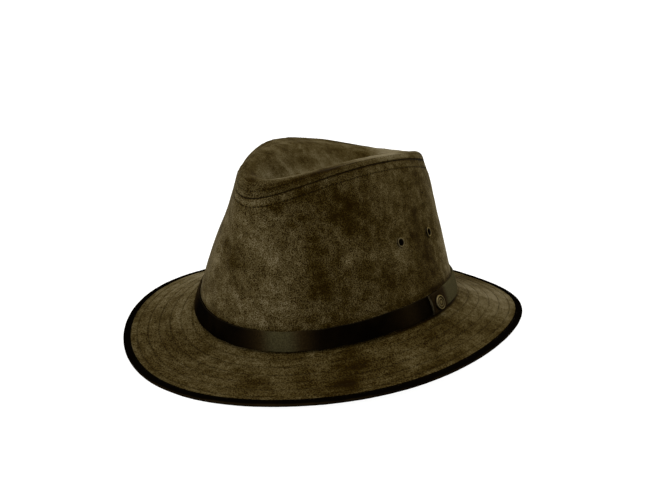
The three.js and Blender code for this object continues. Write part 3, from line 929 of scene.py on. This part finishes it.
def makeSide():
    sizes, shades = sideSizes, sideShades
    angles = anglesRound(sizes["stations"])
    wall = wallLengthAt(angles)
    longest = wall - sizes["lowest"]
    coarse = np.linspace(0, 1, sizes["coarseRows"], endpoint=False)
    fine = np.linspace(sizes["fineReach"], sizes["seamRoll"], sizes["fineRows"])
    drops = np.vstack([longest + (sizes["fineReach"] - longest) * share for share in coarse]
                      + [np.full_like(wall, drop) for drop in fine])
    rise = 1 - drops / wall
    angle = np.broadcast_to(angles, rise.shape)
    base = sideAt(angle, rise)
    normals = gridNormals(base)
    relief, groove = sideRelief(angle, rise, drops)
    outer = base + normals * relief[..., None]
    rolled = rolledEdge(outer[-1], outer[-2], normals[-1], sizes["seamRoll"])
    picks = np.linspace(len(drops) - 1, 0, sizes["innerRows"]).astype(int)
    inner = base[picks] - normals[picks] * sizes["thickness"]
    lip = bell(turnBetween(angle, shades["lipAngle"]) / shades["lipSpread"]) \
        * bell((drops - shades["lipDrop"]) / shades["lipWidth"])
    # painted shadow along the strap's upper edge, darker on the wearer's left
    leftwards = bell((angle - shades["leftAngle"]) / shades["leftSpread"])
    strapShadow = (shades["strapShadow"] + shades["leftShadow"] * leftwards) \
        * bell((rise - shades["strapRise"]) / shades["strapSpread"])
    # the tone adds the side's spots, painted shade in the groove and seam, the paler band and the painted
    # strap shadow
    tone = toneAt(angle, rise, sidePlaces) - shades["groove"] * groove + shades["lip"] * lip \
        - seamShade(angle, drops) - strapShadow
    return shellPiece("crownSidePanel", [(outer, tone, rise), (rolled, hiddenShade, 1),
                                         (inner, hiddenShade, rise[picks])], True, sideSuede)


tipSizes = {
    "stations": 640, "thickness": 1.6 * mm, "seamRoll": 0.4 * mm, "stitchRow": 4.6 * mm,
    "fineReach": 6.4 * mm, "fineRows": 17, "coarseRows": 66, "innerRows": 20,
    "grooveDepth": 0.14 * mm, "grooveWidth": 0.5 * mm, "grooveShade": 0.45,
    "pucker": 0.11 * mm, "puckerReach": 5 * mm, "puckerSeed": 23,
    "calmAbove": (0.86, 0.98),                           # smooth where the valley closes
}

# Pale and dark places on the top, partly the suede's own colour and partly painted light and shade.
# Their climb runs from the seam (0) to the valley (1).
tipPlaces = [
    (30, 0.15, 45, 0.25, 0, -0.15),
    (40, 0.15, 28, 0.15, 0, -0.6), (0, 0.42, 7, 0.14, 0, -1.1), (58, 0.38, 6, 0.14, 0, -1.0),
    (55, 0.08, 12, 0.06, 0, -0.4), (98, 0.32, 18, 0.30, 0, 1.2), (108, 0.60, 22, 0.08, 0, 1.0),
    # a painted highlight along the near ridge's crest: the first two spots on the line below
    (25, 0.54, 16, 0.08, 0, 1.1), (80, 0.56, 30, 0.06, 0, 0.9), (-60, 0.52, 60, 0.03, 0, 0.2),
    (22, 0.32, 10, 0.12, 0, 0.5), (8, 0.64, 16, 0.05, 0, 0.5), (-28, 0.55, 14, 0.06, 0, -0.45),
    (-15, 0.05, 12, 0.06, 0, 0.5),
    (-50, 0.70, 8, 0.08, 0, -0.35), (-40, 0.45, 6, 0.08, 0, -0.3), (-85, 0.75, 10, 0.05, 0, -0.3),
    (-120, 0.65, 12, 0.06, 0, -0.25), (130, 0.55, 20, 0.08, 0, 0.5), (175, 0.50, 20, 0.10, 0, 0.4),
    (-150, 0.40, 14, 0.12, 0, -0.4), (-100, 0.30, 12, 0.12, 0, 0.3),
    (30, 0.55, 16, 0.06, 0, 0.5), (80, 0.35, 8, 0.12, 0, 0.7), (105, 0.45, 8, 0.12, 0, 0.7),
    (-5, 0.40, 8, 0.07, 0, -0.5), (55, 0.40, 8, 0.07, 0, -0.5), (60, 0.25, 16, 0.12, 0, -0.3),
    # painted light on the far slope just above the near crest: the first two spots on the line below
    (-95, 0.86, 50, 0.10, 0, 0.7), (-35, 0.70, 25, 0.08, 0, 0.5), (-150, 0.50, 25, 0.04, 0, 0.9),
    (180, 0.56, 28, 0.10, 0, 1.2), (105, 0.75, 25, 0.08, 0, 0.5), (52, 0.30, 18, 0.10, 0, -0.8),
    (100, 0.35, 16, 0.22, 0, 0.4),
]


def tipRelief(angle, travel, distance):
    fade = 1 - smoothstep(travel, *tipSizes["calmAbove"])
    puckers, groove, depth = sewnRelief(angle, distance, tipSizes)
    return (softRelief(angle, travel, tipWaves) + puckers) * fade - depth, groove


def makeTip():
    sizes = tipSizes
    angles = anglesRound(sizes["stations"])
    fine = np.linspace(sizes["seamRoll"], sizes["fineReach"], sizes["fineRows"])
    low = tipTravelAt(angles, fine).T
    rest = [low[-1] + (1 - low[-1]) * share for share in np.linspace(0, 1, sizes["coarseRows"] + 1)[1:]]
    travel = np.vstack([low, rest])
    angle = np.broadcast_to(angles, travel.shape)
    base = tipAt(angle, travel)
    normals = gridNormals(base)
    steps = np.linalg.norm(np.diff(base, axis=0), axis=-1)
    distance = np.vstack([np.zeros(len(angles)), np.cumsum(steps, axis=0)]) + sizes["seamRoll"]
    relief, groove = tipRelief(angle, travel, distance)
    outer = base + normals * relief[..., None]
    rolled = rolledEdge(outer[0], outer[1], normals[0], sizes["seamRoll"])[::-1]
    picks = np.linspace(len(travel) - 1, 0, sizes["innerRows"]).astype(int)
    inner = base[picks] - normals[picks] * sizes["thickness"]
    inner[0] = base[-1] - np.array((0, 0, sizes["thickness"]))
    # painted shade in the sewn groove and in the seam
    tone = toneAt(angle, travel, tipPlaces) - sizes["grooveShade"] * groove - seamShade(angle, distance)
    return shellPiece("crownTipPanel", [(inner, hiddenShade, travel[picks]), (rolled, hiddenShade, 0),
                                        (outer, tone, travel)], False, tipSuede)


tapeSizes = {"reach": 5 * mm, "inside": 1.9 * mm, "thickness": 0.5 * mm}


# A tape inside the crown, over the seam.
def makeSeamTape():
    angles = anglesRound(sideSizes["stations"])
    reaches = np.array([0.06, 0.5, 1]) * tapeSizes["reach"]
    rise = 1 - reaches[::-1, None] / wallLengthAt(angles)
    travel = tipTravelAt(angles, reaches).T
    turns = np.broadcast_to(angles, rise.shape)
    base = np.concatenate([sideAt(turns, rise), tipAt(turns, travel)])
    normals = gridNormals(base)
    inner = base - normals * (tapeSizes["inside"] + tapeSizes["thickness"])
    points = np.concatenate([base - normals * tapeSizes["inside"], inner[::-1]])
    return sheetPiece("seamTape", points, True, cotton)


seamCordSizes = {"radius": 0.19 * mm, "depth": 0.17 * mm, "sides": 8}


# A cord laid in the seam's groove, which follows the two panels as they pucker.
def makeSeamCord():
    angles = anglesRound(sideSizes["stations"])
    drop = sideSizes["seamRoll"]
    rise = 1 - drop / wallLengthAt(angles)
    travel = tipTravelAt(angles, [drop])[:, 0]
    rows = np.array([sideAt(angles, rise), sideAt(angles, np.ones_like(angles)), tipAt(angles, travel)])
    outward = gridNormals(rows)[1]
    upward = unit(rows[2] - rows[0])
    relief = (sideRelief(angles, rise, drop)[0] + tipRelief(angles, travel, drop)[0]) / 2
    middle = (rows[0] + rows[2]) / 2 + outward * (relief - seamCordSizes["depth"])[:, None]
    points = [middle + (outward * math.cos(turn) + upward * math.sin(turn)) * seamCordSizes["radius"]
              for turn in anglesRound(seamCordSizes["sides"]) - math.pi]
    return sheetPiece("seamCord", np.array(points), True, darkThread)


eyelet = {
    "rise": 0.498, "holeRadius": 2.45 * mm, "barrelRadius": 2.7 * mm, "flangeRadius": 3.4 * mm,
    "flangeHeight": 0.6 * mm, "flangeLift": 0.12 * mm, "steps": 56, "wall": 1.6 * mm,
    "clearance": 0.15 * mm, "cutReach": 8 * mm, "cutSteps": 28,
}
eyeletAngles = {"Front": 84, "Rear": 106}


# Turns an outline of (radius, height) round a point, facing along a direction.
def turned(name, outline, tones, point, facing, steps, closed, material):
    turn = Vector((0, 0, 1)).rotation_difference(Vector(facing)).to_matrix()
    spin = anglesRound(steps)
    radius, height = np.array(outline).T[:, :, None]
    spots = stacked((radius * np.cos(spin), radius * np.sin(spin), height))
    spots = spots @ np.array(turn).T + np.array(point)
    return sheetPiece(name, spots, closed, material, np.array(tones)[:, None])


def eyeletOutline():
    hole, barrel = eyelet["holeRadius"], eyelet["barrelRadius"]
    flange, high, lift = eyelet["flangeRadius"], eyelet["flangeHeight"], eyelet["flangeLift"]
    middle, half = (hole + flange) / 2, (flange - hole) / 2
    outline, tones = [], []
    for turn in np.linspace(0, math.pi, 13):       # the rolled face, from the outside in
        bulge = max(math.sin(turn), 0)
        outline.append((middle + half * math.cos(turn), lift + (high - lift) * bulge ** 0.8))
        tones.append(0.15 + 0.7 * bulge)
    back = -eyelet["wall"] - 0.2 * mm
    outline += [(hole, -0.6 * mm), (hole, back - 0.3 * mm), (barrel, back - 0.6 * mm),
                (flange, back - 0.4 * mm), (flange, back), (barrel, back), (barrel, 0.02 * mm)]
    return outline, tones + [0] * 7


def makeEyelets(side):
    outline, tones = eyeletOutline()
    bore, reach = eyelet["barrelRadius"] + eyelet["clearance"], eyelet["cutReach"]
    cut = [(0, -reach), (bore, -reach), (bore, reach), (0, reach)]
    pieces, cutters = [], []
    for word, sign in (("Left", 1), ("Right", -1)):
        for place, degrees in eyeletAngles.items():
            angle = np.array(sign * degrees * degree)
            rise = np.array(eyelet["rise"])
            point, normal = sideAt(angle, rise), sideNormal(angle, rise)
            ring = turned(f"eyelet{word}{place}", outline, tones, point, normal,
                          eyelet["steps"], True, agedBrass)
            pieces.append((ring, f"eyelet_{word.lower()}_{place.lower()}"))
            cutters.append(turned("cutter", cut, [0] * 4, point, normal,
                                  eyelet["cutSteps"], False, sideSuede))
    for cutter in cutters:
        modifier = side.modifiers.new("hole", "BOOLEAN")
        modifier.object = cutter
        modifier.operation = "DIFFERENCE"
        modifier.solver = "EXACT"
    settled(side)
    for cutter in cutters:
        bpy.data.objects.remove(cutter)
    return pieces


strap = {
    "width": 13.6 * mm, "thickness": 1.5 * mm, "lift": 0.6 * mm, "gap": 0.3 * mm,
    "endAngle": 87.2, "lap": 17.2 * mm, "lapSlack": 0.6 * mm, "ramp": 8 * mm, "rampEnd": 6 * mm,
    "endCurl": 0.9 * mm, "curlReach": 4 * mm, "endHollow": 3.2 * mm, "endCorner": 1.2 * mm,
    "cornerFrom": 0.86, "crowning": 0.25 * mm, "edgeRound": 0.45 * mm,
    "wobble": 0.12 * mm, "ripple": 0.06 * mm, "lapColumns": 70, "columns": 620,
    "radius": 102 * mm,      # turns lengths along the strap into angles
}
stud = {"radius": 5.2 * mm, "height": 1.9 * mm, "fromEnd": 11.2 * mm, "drop": 1 * mm, "steps": 72}


def wallPoint(angle, height, outward):
    rise = height / wallLengthAt(angle)
    return sideAt(angle, rise) + sideNormal(angle, rise) * np.asarray(outward)[..., None]


# How far the strap stands off the wall: its end lies over a layer of itself, then the rest slopes down.
def strapOffset(distance):
    layer = strap["thickness"] + strap["gap"]
    down = np.clip((distance - strap["lap"] - strap["lapSlack"]) / strap["ramp"], 0, 1)
    down = 0.35 * down * (1 - down) + 0.3 * smoothstep(down, 0, 1) + 0.7 * down
    curl = strap["endCurl"] * (1 - smoothstep(distance, 0, strap["curlReach"]))
    return strap["gap"] + layer * (1 - down) + curl


# The strap's section from its lower outer edge up the face, over, and down the back. Each point has its
# place across the strap, its place outward, and its wear.
def strapSection():
    rounding, thick, crown = strap["edgeRound"], strap["thickness"], strap["crowning"]
    face = thick - crown * 0.6
    section = []
    for share in np.linspace(0, 1, 15):
        wear = 0.3 * max(0, 1 - min(share, 1 - share) / 0.05)
        section.append((rounding + share * (strap["width"] - 2 * rounding),
                        face + crown * (1 - (2 * share - 1) ** 2), wear))
    corner = [(rounding * math.sin(turn), face - rounding + rounding * math.cos(turn), 0.55)
              for turn in np.linspace(0, math.pi / 2, 5)[1:]]
    section += [(strap["width"] - rounding + x, y, wear) for x, y, wear in corner]
    section.append((strap["width"], 0.15 * mm, 0.5))
    for share in np.linspace(1, 0, 4):
        section.append((0.1 * mm + share * (strap["width"] - 0.2 * mm), 0, 0))
    section.append((0, 0.15 * mm, 0.5))
    section += [(rounding - x, y, wear) for x, y, wear in reversed(corner)]
    return np.array(section)


# Where a sheen is painted on the strap's face, standing in for reflections, in degrees: spots have an
# angle, a spread and a strength, and rises a start, an end and a strength. The angles go on past 360 where
# the strap laps over itself.
paintedSheenSpots = [(306, 9, 0.5), (380, 10, 1), (437, 6, 0.14)]
paintedSheenRises = [(87, 91, 0.3), (99, 106, 0.85)]
paintedSheenFade = (130, 160)


def paintedSheenAt(turn):
    fade = 1 - smoothstep(turn, *paintedSheenFade)
    rises = sum(smoothstep(turn, start, end) * strength for start, end, strength in paintedSheenRises)
    return rises * fade + sum(bell((turn - place) / spread) * strength
                              for place, spread, strength in paintedSheenSpots)


def makeStrap():
    section = strapSection()
    lapEnd = (strap["lap"] + strap["ramp"] + strap["rampEnd"]) / strap["radius"]
    last = wholeTurn + strap["lap"] / strap["radius"]
    turns = np.concatenate([np.linspace(0, lapEnd, strap["lapColumns"], endpoint=False),
                            np.linspace(lapEnd, last, strap["columns"])])
    across, out = section.T[:2, :, None]
    share = 2 * across / strap["width"] - 1
    corner = np.maximum(0, np.abs(share) - strap["cornerFrom"]) / (1 - strap["cornerFrom"])
    cut = strap["endHollow"] * (1 - share * share) + strap["endCorner"] * corner
    fade = np.clip(1 - turns / lapEnd, 0, 1) ** 2
    turn = turns + cut * fade / strap["radius"]
    distance = turn * strap["radius"]
    angle = strap["endAngle"] * degree + turn
    height = strap["lift"] + across + waves(angle, 0 * angle, 31, 12, (5, 30), 1) * strap["wobble"]
    ripple = waves(angle, across / mm, 32, 12, (6, 40), 0.3) * strap["ripple"]
    points = wallPoint(angle, height, strapOffset(distance) + out + ripple)
    tone = np.repeat(section[:, 2:], len(turns), axis=1)
    tone[:, 0] = 1
    # the third channel of around carries the painted sheen
    around = stacked((distance, across, paintedSheenAt(angle / degree)))
    # columns run along the strap here, so the grid is open where the two ends overlap
    here = np.arange(tone.size).reshape(tone.shape)
    above = np.roll(here, -1, axis=0)
    quads = np.stack([here[:, :-1], here[:, 1:], above[:, 1:], above[:, :-1]], axis=-1)
    caps = [here[:, 0].tolist(), here[::-1, -1].tolist()]
    return meshPiece("strap", points, quads.reshape(-1, 4).tolist() + caps, darkStrap, tone, around)


# The stud's turned face, from the back round the rim to the middle: shares of its radius and height, and
# how bright it is worn.
studOutline = [
    (0.0, 0, 0), (0.96, 0, 0), (1.0, 0.1, 0.1), (1.0, 0.45, 0.4), (0.985, 0.66, 0.8), (0.95, 0.84, 1),
    (0.9, 0.94, 1), (0.84, 0.95, 0.9), (0.79, 0.86, 0.4), (0.755, 0.66, 0), (0.72, 0.52, 0),
    (0.68, 0.5, 0), (0.645, 0.58, 0), (0.62, 0.72, 0.4), (0.59, 0.85, 0.85), (0.53, 0.885, 0.95),
    (0.47, 0.85, 0.6), (0.43, 0.76, 0), (0.37, 0.72, 0), (0.33, 0.74, 0.1), (0.28, 0.79, 0.5),
    (0.2, 0.82, 0.65), (0.1, 0.835, 0.7), (0.0, 0.84, 0.7),
]


def makeStud():
    angle = np.array(strap["endAngle"] * degree + stud["fromEnd"] / strap["radius"])
    layers = 2 * strap["thickness"] + 2 * strap["gap"] + 0.1 * mm
    middle = strap["lift"] + strap["width"] / 2 - stud["drop"]
    point = wallPoint(angle, np.array(middle), np.array(layers))
    outline = np.array(studOutline)
    return turned("strapStud", outline[:, :2] * (stud["radius"], stud["height"]), outline[:, 2],
                  point, sideNormal(angle, np.array(0.1)), stud["steps"], False, agedBrass)


stitchSizes = {
    "pitch": 3.1 * mm, "length": 2.5 * mm, "width": 0.5 * mm, "height": 0.34 * mm,
    "scatter": 0.06, "seed": 5, "thread": oliveThread,
}
crownRow = {"pitch": 2.9 * mm, "length": 1.9 * mm, "width": 0.65 * mm, "seed": 8, "thread": darkThread}
topRow = {**crownRow, "length": 1.7 * mm, "width": 0.55 * mm, "height": 0.3 * mm, "seed": 10}
hemRow = {"pitch": 3.0 * mm, "length": 2.4 * mm, "width": 0.45 * mm, "height": 0.3 * mm, "seed": 9,
          "thread": blackThread}
hemSizes = {"inset": 1.4 * mm, "sunk": 0.02 * mm, "floor": 0.2 * mm}
lineStations = 720
sunkShare = 0.75         # of the brim's groove, to where its stitches lie
proud = 0.04 * mm        # how far the crown's stitches stand out of their groove


# Stitches along lines whose points know which way the surface faces.
def stitchTree():
    board, given = newTree("stitchMaker", stitchSizes)
    line = board.add("GeometryNodeMeshToCurve", None, {"Mesh": given["Geometry"]})
    line = board.add("GeometryNodeResampleCurve", {"mode": "LENGTH"},
                     {"Curve": line, "Length": given["pitch"]})
    bead = board.add("GeometryNodeMeshUVSphere", None, {"Segments": 6, "Rings": 4, "Radius": 0.5})
    facing = board.add("GeometryNodeInputNamedAttribute", {"data_type": "FLOAT_VECTOR"}, {"Name": "facing"})
    spin = board.add("FunctionNodeAxesToRotation", {"primary_axis": "Z", "secondary_axis": "X"},
                     {"Primary Axis": facing, "Secondary Axis": board.add("GeometryNodeInputTangent")})
    luck = board.add("FunctionNodeRandomValue", {"data_type": "FLOAT"}, {
        2: 1 - given["scatter"] * 4, 3: 1 + given["scatter"], "Seed": given["seed"]}, output=1)
    size = board.vector(given["length"] * luck, given["width"] * luck, given["height"])
    sewn = board.add("GeometryNodeInstanceOnPoints", None, {
        "Points": line, "Instance": bead, "Rotation": spin, "Scale": size})
    smooth = board.add("GeometryNodeSetShadeSmooth", None, {"Geometry": sewn, "Shade Smooth": True})
    closeTree(board, smooth, given["thread"])
    return board.tree


# Lines are pairs of arrays: points round the hat, and the way the surface faces there.
def sewnPiece(name, tree, lines, changes):
    spots, facings, edges = [], [], []
    for points, facing in lines:
        first = len(spots)
        count = len(points)
        spots.extend(points.tolist())
        facings.extend(facing.tolist())
        edges.extend((first + i, first + (i + 1) % count) for i in range(count))
    start = bpy.data.meshes.new(name + "Lines")
    start.from_pydata(spots, edges, [])
    paint(start, "facing", "FLOAT_VECTOR", np.array(facings))
    piece = grown(name, start, tree, {**stitchSizes, **changes})
    paint(piece.data, "tone", "FLOAT", np.zeros(len(piece.data.vertices)))
    return piece


def brimLine(angle, inward):
    def at(turn, share):
        return stacked(brimAt(turn, share, brimSizes))
    step = 0.002
    along = at(angle + step, inward) - at(angle - step, inward)
    across = at(angle, inward + step) - at(angle, inward - step)
    return at(angle, inward), unit(np.cross(along, across))


def sideLine(angle):
    drop = np.full_like(angle, sideSizes["stitchRow"])
    rise = 1 - drop / wallLengthAt(angle)
    normals = sideNormal(angle, rise)
    return sideAt(angle, rise) + normals * (sideRelief(angle, rise, drop)[0] + proud)[:, None], normals


def tipLine(angle):
    distance = np.full_like(angle, tipSizes["stitchRow"])
    travel = tipTravelAt(angle, [tipSizes["stitchRow"]])[:, 0]
    grid = tipAt(np.tile(angle, (3, 1)), np.stack([travel - 0.01, travel, travel + 0.01]))
    normals = gridNormals(grid)[1]
    return grid[1] + normals * (tipRelief(angle, travel, distance)[0] + proud)[:, None], normals


# Rows through the edging's two flaps, above and below the brim.
def hemLines(angle, width):
    points, normals = brimLine(angle, (edgingSizes["reach"] - hemSizes["inset"]) / width)
    high = edgingSizes["gap"] + edgingSizes["thickness"] - hemSizes["sunk"]
    under = points - normals * (brimSizes["thickness"] + high)
    under[:, 2] = np.maximum(under[:, 2], hemSizes["floor"])
    return [(points + normals * high, normals), (under, -normals)]


def makeStitches():
    tree = stitchTree()
    angles = anglesRound(lineStations)
    width = brimWidthAt(angles, brimSizes)
    spacing = rowSpacingAt(width, brimSizes)
    sunk = brimSizes["grooveDepth"] * sunkShare
    upper, lower = [], []
    for row in range(brimSizes["stitchRows"]):
        points, normals = brimLine(angles, (brimSizes["firstRow"] + row * spacing) / width)
        upper.append((points - (0, 0, sunk), normals))
        lower.append((points - (0, 0, brimSizes["thickness"] - sunk), -normals))
    return [
        sewnPiece("brimStitches", tree, upper, {}),
        sewnPiece("underBrimStitches", tree, lower, {"seed": 6}),
        sewnPiece("crownStitches", tree, [sideLine(angles)], crownRow),
        sewnPiece("topStitches", tree, [tipLine(angles)], topRow),
        sewnPiece("edgingStitches", tree, hemLines(angles, width), hemRow)]


brimPanel = makeBrim()
print("brim grown:", len(brimPanel.data.polygons), "faces")
brimEdging = makeEdging()
print("edging grown:", len(brimEdging.data.polygons), "faces")
crownSide = makeSide()
eyelets = makeEyelets(crownSide)
print("crown side made:", len(crownSide.data.polygons), "faces")
crownTip = makeTip()
seamTape = makeSeamTape()
seamCord = makeSeamCord()
print("crown top made:", len(crownTip.data.polygons), "faces")
strapPiece = makeStrap()
studPiece = makeStud()
print("strap and stud made:", len(strapPiece.data.polygons), "faces")
stitches = makeStitches()
print("stitches sewn:", sum(len(piece.data.polygons) for piece in stitches), "faces")

for piece, node, slot in [
        (brimPanel, "brim", "suede"), (crownSide, "crown_side", "suede"), (crownTip, "crown_tip", "suede"),
        (brimEdging, "brim_binding", "binding_leather"), (strapPiece, "hatband", "strap_leather"),
        (studPiece, "band_stud", "brass"), *[(ring, node, "brass") for ring, node in eyelets]]:
    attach(piece, hatBody)
    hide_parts(node)
for piece in [seamTape, seamCord, *stitches]:
    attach(piece, hatBody)


# The floor gives a soft light, but none under the hat, so that the crown is dark inside.
floorSizes = {"half": 12, "glow": 0.97, "darkWidth": 0.108, "darkLength": 0.140, "fade": (0.96, 1.08)}


def makeFloor():
    material, board, place = freshMaterial("paleFloor")
    cloud = board.noise(place, 1.5, 2.0, 0.5)
    colour = board.blended(cloud, (0.20, 0.20, 0.20, 1), (0.22, 0.22, 0.22, 1))
    spread = board.scaled(place, (1 / floorSizes["darkWidth"], 1 / floorSizes["darkLength"], 0))
    reach = board.add("ShaderNodeVectorMath", {"operation": "LENGTH"}, {0: spread}, "Value")
    glow = board.blended(board.ramped(reach, *floorSizes["fade"]), (0, 0, 0, 1), (1, 1, 1, 1))
    finishMaterial(board, {
        "Base Color": colour, "Roughness": 0.9, "Specular IOR Level": 0.0,
        "Emission Color": glow, "Emission Strength": floorSizes["glow"]})
    half = floorSizes["half"]
    corners = [(-half, -half, 0), (half, -half, 0), (half, half, 0), (-half, half, 0)]
    mesh = bpy.data.meshes.new("floor")
    mesh.from_pydata(corners, [], [(0, 1, 2, 3)])
    mesh.materials.append(material)
    return linked("floor", mesh)


makeFloor()


def compass(azimuth, elevation):
    turn, climb = azimuth * degree, elevation * degree
    return Vector((math.sin(turn) * math.cos(climb), -math.cos(turn) * math.cos(climb), math.sin(climb)))


# Soft light all round: where each glow comes from, how tight it is and how strong.
studioGlows = [
    {"azimuth": 0, "elevation": 90, "tightness": 2, "strength": 2.4},
    {"azimuth": -28, "elevation": 6, "tightness": 25, "strength": 8.0},
    {"azimuth": 168, "elevation": 25, "tightness": 5, "strength": 1.5},
]
studioBase = 0.25


def makeWorld():
    world = bpy.data.worlds.new("studioAir")
    world.use_nodes = True
    world.node_tree.nodes.clear()
    board = Board(world.node_tree)
    toward = board.add("ShaderNodeTexCoord", None, None, "Generated")
    total = studioBase
    for glow in studioGlows:
        aim = board.add("ShaderNodeVectorMath", {"operation": "DOT_PRODUCT"},
                        {0: toward, 1: compass(glow["azimuth"], glow["elevation"])}, "Value")
        total = total + larger(aim, 0.0) ** glow["tightness"] * glow["strength"]
    air = board.add("ShaderNodeBackground", None, {"Color": (1.0, 0.95, 0.84, 1), "Strength": total})
    board.add("ShaderNodeOutputWorld", None, {"Surface": air})
    scene.world = world


view = {"azimuth": 35.3, "elevation": 17.6, "distance": 1.0, "aside": -1.88 * mm, "height": 57.93 * mm,
        "roll": 0.19, "lens": 76.92}


def makeCamera():
    back = compass(view["azimuth"], view["elevation"])
    right = Vector((math.cos(view["azimuth"] * degree), math.sin(view["azimuth"] * degree), 0))
    above = back.cross(right)
    roll = view["roll"] * degree
    across = right * math.cos(roll) + above * math.sin(roll)
    upward = above * math.cos(roll) - right * math.sin(roll)
    target = right * view["aside"] + Vector((0, 0, view["height"]))
    lens = bpy.data.cameras.new("camera")
    lens.lens = view["lens"]
    lens.sensor_width = 36
    lens.sensor_fit = "HORIZONTAL"
    camera = bpy.data.objects.new("camera", lens)
    scene.collection.objects.link(camera)
    turn = Matrix((across, upward, back)).transposed().to_4x4()
    camera.matrix_world = Matrix.Translation(target + back * view["distance"]) @ turn
    scene.camera = camera


makeWorld()
makeCamera()
scene.view_settings.view_transform = "Standard"
print("stage, light and camera set")
